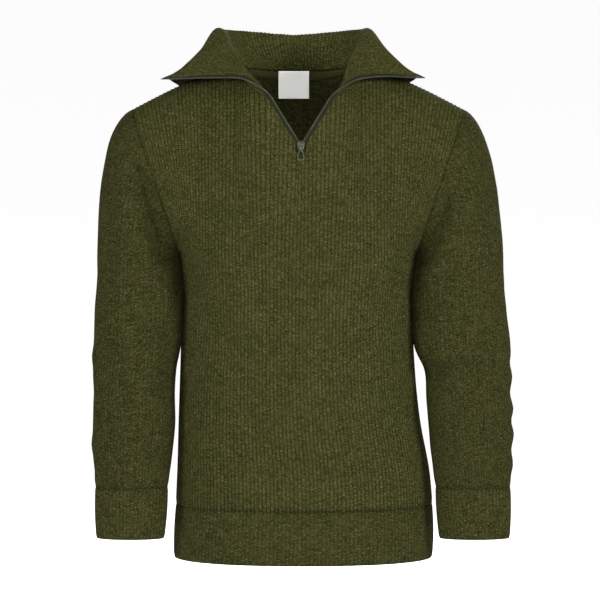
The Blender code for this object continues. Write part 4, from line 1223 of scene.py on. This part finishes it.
def build_slider_detail():
    """Two plates, the post and the side rails, then the bridge; gives the pull's pivot height."""
    bm = bmesh.new()
    outline = slider_outline(SLIDER_WIDTH, SLIDER_LENGTH)
    half = CHANNEL / 2
    outline_solid(bm, outline, half, half + PLATE)
    outline_solid(bm, outline, -half - PLATE, -half)
    turns = [2 * math.pi * k / 16 for k in range(16)]
    post = [(0.0014 * math.cos(t), 0.0036 + 0.0022 * math.sin(t)) for t in turns]
    outline_solid(bm, post, -half - PLATE * 0.5, half + PLATE * 0.5)
    for side in (-1, 1):
        rail = [(side * SLIDER_WIDTH * x, SLIDER_LENGTH * y) for x, y in RAIL]
        outline_solid(bm, rail, half - 0.0008, half + PLATE * 0.5)
        outline_solid(bm, rail, -half - PLATE * 0.5, -half + 0.0008)
    finish_hard("slider_body", bm, slider_frame(), METAL, "garment", ("zip_slider",), PLATE_EDGE)
    bm = bmesh.new()
    face = half + PLATE
    turns = [math.pi * k / 14 for k in range(15)]

    def arch(length, rise):
        foot = face - BRIDGE_SINK
        return [(length / 2 * math.cos(t), foot + (rise + BRIDGE_SINK) * math.sin(t) ** 0.6) for t in turns]

    loop = arch(BRIDGE_LENGTH, BRIDGE_RISE) + arch(BRIDGE_OPEN_LENGTH, BRIDGE_OPEN_RISE)[::-1]
    sides = []
    for x in (-BRIDGE_WIDTH / 2, BRIDGE_WIDTH / 2):
        sides.append([bm.verts.new((x, y, z)) for y, z in loop])
    count = len(loop)
    for k in range(count):
        m = (k + 1) % count
        bm.faces.new((sides[0][k], sides[0][m], sides[1][m], sides[1][k]))
    for verts in sides:
        for k in range(len(turns) - 1):
            bm.faces.new((verts[k], verts[k + 1], verts[count - 2 - k], verts[count - 1 - k]))
    finish_hard("slider_bridge", bm, slider_frame(), METAL, "garment", (), HARD_EDGE)
    return face + BRIDGE_OPEN_RISE / 2


def build_pull_detail(pivot_out):
    """The pull tab with its window, rounded foot and a slot through the foot that leaves a rim round it."""
    plan = [(TAB_NECK / 2, -TAB_BAR * 0.2)]
    for k in range(9):
        t = math.pi * k / 8
        plan.append((TAB_NECK / 2 * math.cos(t), TAB_BAR / 2 * math.sin(t) ** 0.5 if 0 < k < 8 else 0.0))
    plan = plan[1:]
    plan += [(-TAB_NECK / 2, -TAB_WINDOW - TAB_WAIST), (-TAB_FOOT / 2, -TAB_LENGTH + TAB_FOOT_LENGTH)]
    for k in range(1, 12):
        t = math.pi + math.pi * k / 12
        plan.append((TAB_FOOT / 2 * math.cos(t), -TAB_LENGTH + TAB_ROUND + TAB_ROUND * math.sin(t)))
    plan += [(TAB_FOOT / 2, -TAB_LENGTH + TAB_FOOT_LENGTH), (TAB_NECK / 2, -TAB_WINDOW - TAB_WAIST)]
    window = []
    low = -TAB_WINDOW
    high = -TAB_BAR / 2
    wide = TAB_WINDOW_WIDTH / 2
    for k in range(16):
        t = 2 * math.pi * k / 16
        c, s = math.cos(t), math.sin(t)
        x = wide * math.copysign(abs(c) ** 0.6, c)
        y = (low + high) / 2 + (high - low) / 2 * math.copysign(abs(s) ** 0.6, s)
        window.append((x, y))
    slot_top = -TAB_WINDOW - 0.0022
    slot_low = -TAB_LENGTH + 0.0022
    flank = [(0.0016, slot_top), (TAB_FOOT / 2 - 0.0017, slot_low + 0.0032)]
    flank.append((TAB_FOOT / 2 - 0.0030, slot_low + 0.0006))
    slot = [flank[0], *((-x, y) for x, y in flank), (0.0, slot_low), *flank[:0:-1]]
    bm = bmesh.new()
    rings = []
    for z in (-TAB_THICK / 2, TAB_THICK / 2):
        rings.append([[bm.verts.new((x, y, z)) for x, y in loop] for loop in (plan, window, slot)])
        edges = []
        for loop in rings[-1]:
            edges += [bm.edges.new((loop[k], loop[(k + 1) % len(loop)])) for k in range(len(loop))]
        bmesh.ops.triangle_fill(bm, use_beauty=True, use_dissolve=False, edges=edges)
    for a, b in zip(*rings):
        for k in range(len(a)):
            m = (k + 1) % len(a)
            bm.faces.new((a[k], a[m], b[m], b[k]))
    frame_at = slider_frame() @ Matrix.Translation((0.0, PIVOT_UP, pivot_out))
    finish_hard("pull_tab_metal", bm, frame_at, METAL_TAB, "pull_tab", ("zip_pull",), HARD_EDGE)


def sheet_solid(name, grid, normals, half, material, replaced=()):
    """A thin closed sheet round a grid of points."""
    rows, columns = grid.shape[:2]
    verts = np.concatenate([(grid + normals * half).reshape(-1, 3), (grid - normals * half).reshape(-1, 3)])
    count = rows * columns
    index = np.arange(count).reshape(rows, columns)
    quads = quads_between(index[:, :-1], index[:, 1:]).reshape(-1, 4)
    faces = [*quads.tolist(), *(quads[:, ::-1] + count).tolist()]
    border = list(index[0]) + list(index[1:, -1]) + list(index[-1, :-1][::-1]) + list(index[1:-1, 0][::-1])
    for k in range(len(border)):
        a, b = int(border[k]), int(border[(k + 1) % len(border)])
        faces.append((a, b, b + count, a + count))
    tidy_normals(add_mesh(name, verts, faces, material, replaced))


# One yarn in four copies: tone is painted light and shade (sleeves and trim darker, collar lighter), valley
# sets how strong the painted shade between ribs is
KNIT_BODY = knit_material("knit_body", tone=1.04, valley=1.0)
KNIT_SLEEVE = knit_material("knit_sleeve", tone=0.78, valley=0.45)
KNIT_TRIM = knit_material("knit_trim", tone=0.86, valley=0.62)
KNIT_COLLAR = knit_material("knit_collar", tone=1.20, valley=1.0)
TAPE = woven_material("zip_tape_weave", (0.0115, 0.0125, 0.0038), 0.0009, sheen=0.02)
COIL = coil_material("zip_coil_plastic", (0.034, 0.038, 0.024))
METAL = metal_material("slider_metal", (0.052, 0.056, 0.042), 0.30)
METAL_TAB = metal_material("pull_metal", (0.026, 0.029, 0.016), 0.26)
NECK_WEAVE = woven_material("neck_tape_weave", (0.034, 0.034, 0.0085), 0.0011, sheen=0.02, contrast=0.45)
LABEL = woven_material("label_weave", (0.930, 0.940, 0.890), 0.0005, rough=0.6, contrast=0.10)

front = panel_grid(-1)
back = panel_grid(1)
seam = neck_ring(front[0], back[0])
across = fit_neckline(front, back, seam)
shell("front", front[0], front[1], "front_knit", KNIT_BODY, tucks=("low",))
back_inner = shell("back", back[0], back[1], "back_knit", KNIT_BODY, tucks=("low",))
for face, name in ((-1, "hem_front"), (1, "hem_back")):
    edges = {"tucks": ("high", "left", "right"), "thin": ("low",)}
    shell(name, *hem_grid(face), "hem_knit", KNIT_TRIM, rise=SOFT_RISE, **edges)
tube = {"closed": True, "rise": SOFT_RISE}
for side, name in ((-1, "right"), (1, "left")):
    grid, normals = sleeve_grid(side, front, back)
    shell("sleeve_" + name, grid, normals, "sleeve_knit", KNIT_SLEEVE, tucks=("low",), **tube)
    shell("cuff_" + name, *cuff_grid(side), "cuff_knit", KNIT_TRIM, tucks=("high",), thin=("low",), **tube)
collar = collar_grid(seam, across)
shell("collar", *collar, "collar_knit", KNIT_COLLAR, ribs_outside=False, tucks=("low",), thin=("high",))

for side, name in ((-1, "right"), (1, "left")):
    places, across_zip, on_zip = zip_line(side, front, collar)
    near_tail, far_tail, facing_tail = tape_tail(side, across_zip)
    near = places - on_zip * TAPE_UNDER
    far = places + on_zip * (TAPE_GAP + TAPE_WIDTH + TAPE_UNDER_COIL)
    near = soften(np.concatenate([near_tail, near[1:]]), 1)
    far = soften(np.concatenate([far_tail, far[1:]]), 3)
    facing = unit(soften(np.concatenate([facing_tail, across_zip[1:]]), 2))
    strip("tape_" + name, near, far, facing, TAPE_HALF, TAPE, replaced=("zip_tape_" + name,))
    start = np.array([slider_frame() @ Vector((side * x, y, 0.0)) for x, y in COIL_TAIL])
    middle = places + on_zip * (TAPE_GAP + TAPE_WIDTH + LAYER_GAP + COIL_RADIUS)
    middle = soften(np.concatenate([start, middle[1:]]), 2)
    turned = np.concatenate([np.tile(facing_tail[:1], (len(start), 1)), across_zip[1:]])
    toward = np.concatenate([np.tile(on_zip[:1], (len(start), 1)), on_zip[1:]])
    coil("coil_" + name, middle, turned, toward, ("zip_coil_" + name,))

build_pull_detail(build_slider_detail())


def neck_strip():
    """The tape over the back neck seam, made from the panel's inner points."""
    half_count = int(NECK_SIDE * 0.62)
    columns = np.arange(HALF_PANEL - half_count, HALF_PANEL + half_count + 1, 2)
    top = back_inner[-1, columns]
    lower = back_inner[-4, columns]
    down = unit(lower - top)
    along = unit(np.gradient(top, axis=0))
    inward = unit(np.cross(along, down))
    if inward[len(inward) // 2, 1] > 0:
        inward = -inward
    grid = []
    for k in range(9):
        drop = NECK_TAPE_START + (NECK_TAPE_DROP - NECK_TAPE_START) * k / 8
        puff = 0.0004 * math.sin(math.pi * k / 8)
        grid.append(top + down * drop + inward * (0.0012 + puff))
    grid = np.array(grid)
    normals = np.tile(inward, (9, 1, 1))
    sheet_solid("neck_tape_weave", grid, normals, 0.0004, NECK_WEAVE, replaced=("neck_tape",))
    return grid


strip_grid = neck_strip()


def label_piece():
    """The bare label, a little bowed, sewn along its top."""
    columns, rows = 29, 25
    x = np.linspace(-0.5, 0.5, columns) * LABEL_WIDTH + LABEL_CENTRE_X
    middle = strip_grid[len(strip_grid) // 2]
    behind = np.interp(x, middle[:, 0], middle[:, 1])
    y_top = behind.min() - 0.0017
    grid = np.zeros((rows, columns, 3))
    for row in range(rows):
        share = row / (rows - 1)
        bow = 0.0010 * np.sin(math.pi * (x - x[0]) / LABEL_WIDTH) - 0.0012 * share**2
        bow = bow + 0.0004 * np.sin(7.0 * share + 60.0 * x)
        grid[row, :, 0] = x
        grid[row, :, 1] = y_top + bow * min(1.0, 3 * share)
        grid[row, :, 2] = LABEL_TOP_Z - LABEL_HEIGHT * share
    normals = np.zeros_like(grid)
    normals[..., 1] = -1.0
    sheet_solid("label_bare", grid, normals, 0.00025, LABEL, replaced=("neck_label",))


label_piece()

# What shows of each cut piece, laid flat: width, length, area, the pieces on it
CUTS = {
    "front_knit": (0.550, 0.660, 0.272, ()),
    "back_knit": (0.580, 0.655, 0.275, ("neck_tape_weave",)),
    "hem_front_knit": (0.4905, 0.0753, 0.0369, ()),
    "hem_back_knit": (0.4905, 0.0753, 0.0369, ()),
    "sleeve_right_knit": (0.546, 0.540, 0.157, ()),
    "sleeve_left_knit": (0.546, 0.542, 0.160, ()),
    "cuff_right_knit": (0.257, 0.073, 0.0182, ()),
    "cuff_left_knit": (0.257, 0.073, 0.0187, ()),
    "collar_knit": (0.571, 0.172, 0.0767, ()),
    "tape_right": (0.0120, 0.240, 0.0011, ("coil_right",)),
    "tape_left": (0.0120, 0.220, 0.0011, ("coil_left",)),
    "neck_tape_weave": (0.145, 0.0108, 0.00156, ("label_bare",)),
    "label_bare": (LABEL_WIDTH, LABEL_HEIGHT, LABEL_WIDTH * LABEL_HEIGHT, ()),
}
for name, (width, length, area, carried) in CUTS.items():
    carried = [bpy.data.objects[piece] for piece in carried]

# Light, floor and camera


def plain(name, colour, glow):
    """A pale studio surface that also shines a little by itself where the camera sees it."""
    made, tree, shader = node_tree(name)
    shader.inputs["Base Color"].default_value = (*colour, 1.0)
    shader.inputs["Roughness"].default_value = 0.9
    shader.inputs["Specular IOR Level"].default_value = 0.0
    shader.inputs["Emission Color"].default_value = (1.0, 1.0, 1.0, 1.0)
    seen = tree.nodes.new("ShaderNodeLightPath").outputs["Is Camera Ray"]
    link(tree, math_node(tree, "MULTIPLY", seen, glow), shader.inputs["Emission Strength"])
    return made


FLOOR_REACH = 40.0
FLOOR_Z = -1.15
floor_mesh = bpy.data.meshes.new("floor")
corners = [(x * FLOOR_REACH, y * FLOOR_REACH, FLOOR_Z) for x, y in ((-1, -1), (1, -1), (1, 1), (-1, 1))]
floor_mesh.from_pydata(corners, [], [(0, 1, 2, 3)])
floor = bpy.data.objects.new("floor", floor_mesh)
bpy.context.scene.collection.objects.link(floor)
floor_mesh.materials.append(plain("floor_pale", (0.90, 0.90, 0.90), 0.80))

world = bpy.data.worlds.new("studio")
world.use_nodes = True
world.node_tree.nodes["Background"].inputs["Color"].default_value = (1.0, 1.0, 1.0, 1.0)
WORLD_LIGHT = 0.19
WORLD_SEEN = 1.10
tree = world.node_tree
seen = tree.nodes.new("ShaderNodeLightPath").outputs["Is Camera Ray"]
strength = math_node(tree, "MULTIPLY_ADD", seen, WORLD_SEEN - WORLD_LIGHT, WORLD_LIGHT)
link(tree, strength, tree.nodes["Background"].inputs["Strength"])
bpy.context.scene.world = world
bpy.context.scene.view_settings.view_transform = "Standard"


def area_light(name, place, aim, size, power, colour=(1.0, 1.0, 1.0)):
    data = bpy.data.lights.new(name, "AREA")
    data.shape = "SQUARE"
    data.size = size
    data.energy = power
    data.color = colour
    made = bpy.data.objects.new(name, data)
    made.location = place
    made.rotation_mode = "QUATERNION"
    made.rotation_quaternion = (Vector(aim) - Vector(place)).to_track_quat("-Z", "Y")
    bpy.context.scene.collection.objects.link(made)


area_light("key", (3.3, -2.6, 1.1), (0.0, 0.0, -0.30), 1.3, 214.0)
area_light("fill", (-3.3, -2.6, 0.9), (0.0, 0.0, -0.30), 1.3, 166.0)
area_light("front", (0.1, -4.2, 0.7), (0.0, 0.0, -0.30), 1.0, 98.0)
area_light("top", (0.0, -0.6, 2.6), (0.0, 0.0, -0.20), 1.6, 16.0)
area_light("rear", (0.6, 3.4, 1.2), (0.0, 0.0, -0.30), 2.0, 230.0)

CAMERA_DISTANCE = 9.0
ELEVATION = math.radians(5.0)
SPAN = 0.84
TARGET = Vector((0.0028, 0.0, -0.3304))
camera_data = bpy.data.cameras.new("camera")
camera_data.lens = camera_data.sensor_width * CAMERA_DISTANCE / SPAN
camera_data.clip_end = 100.0
camera = bpy.data.objects.new("camera", camera_data)
back_way = Vector((0.0, -math.cos(ELEVATION), math.sin(ELEVATION)))
camera.location = TARGET + back_way * CAMERA_DISTANCE
camera.rotation_mode = "QUATERNION"
camera.rotation_quaternion = (-back_way).to_track_quat("-Z", "Y")
bpy.context.scene.collection.objects.link(camera)
bpy.context.scene.camera = camera
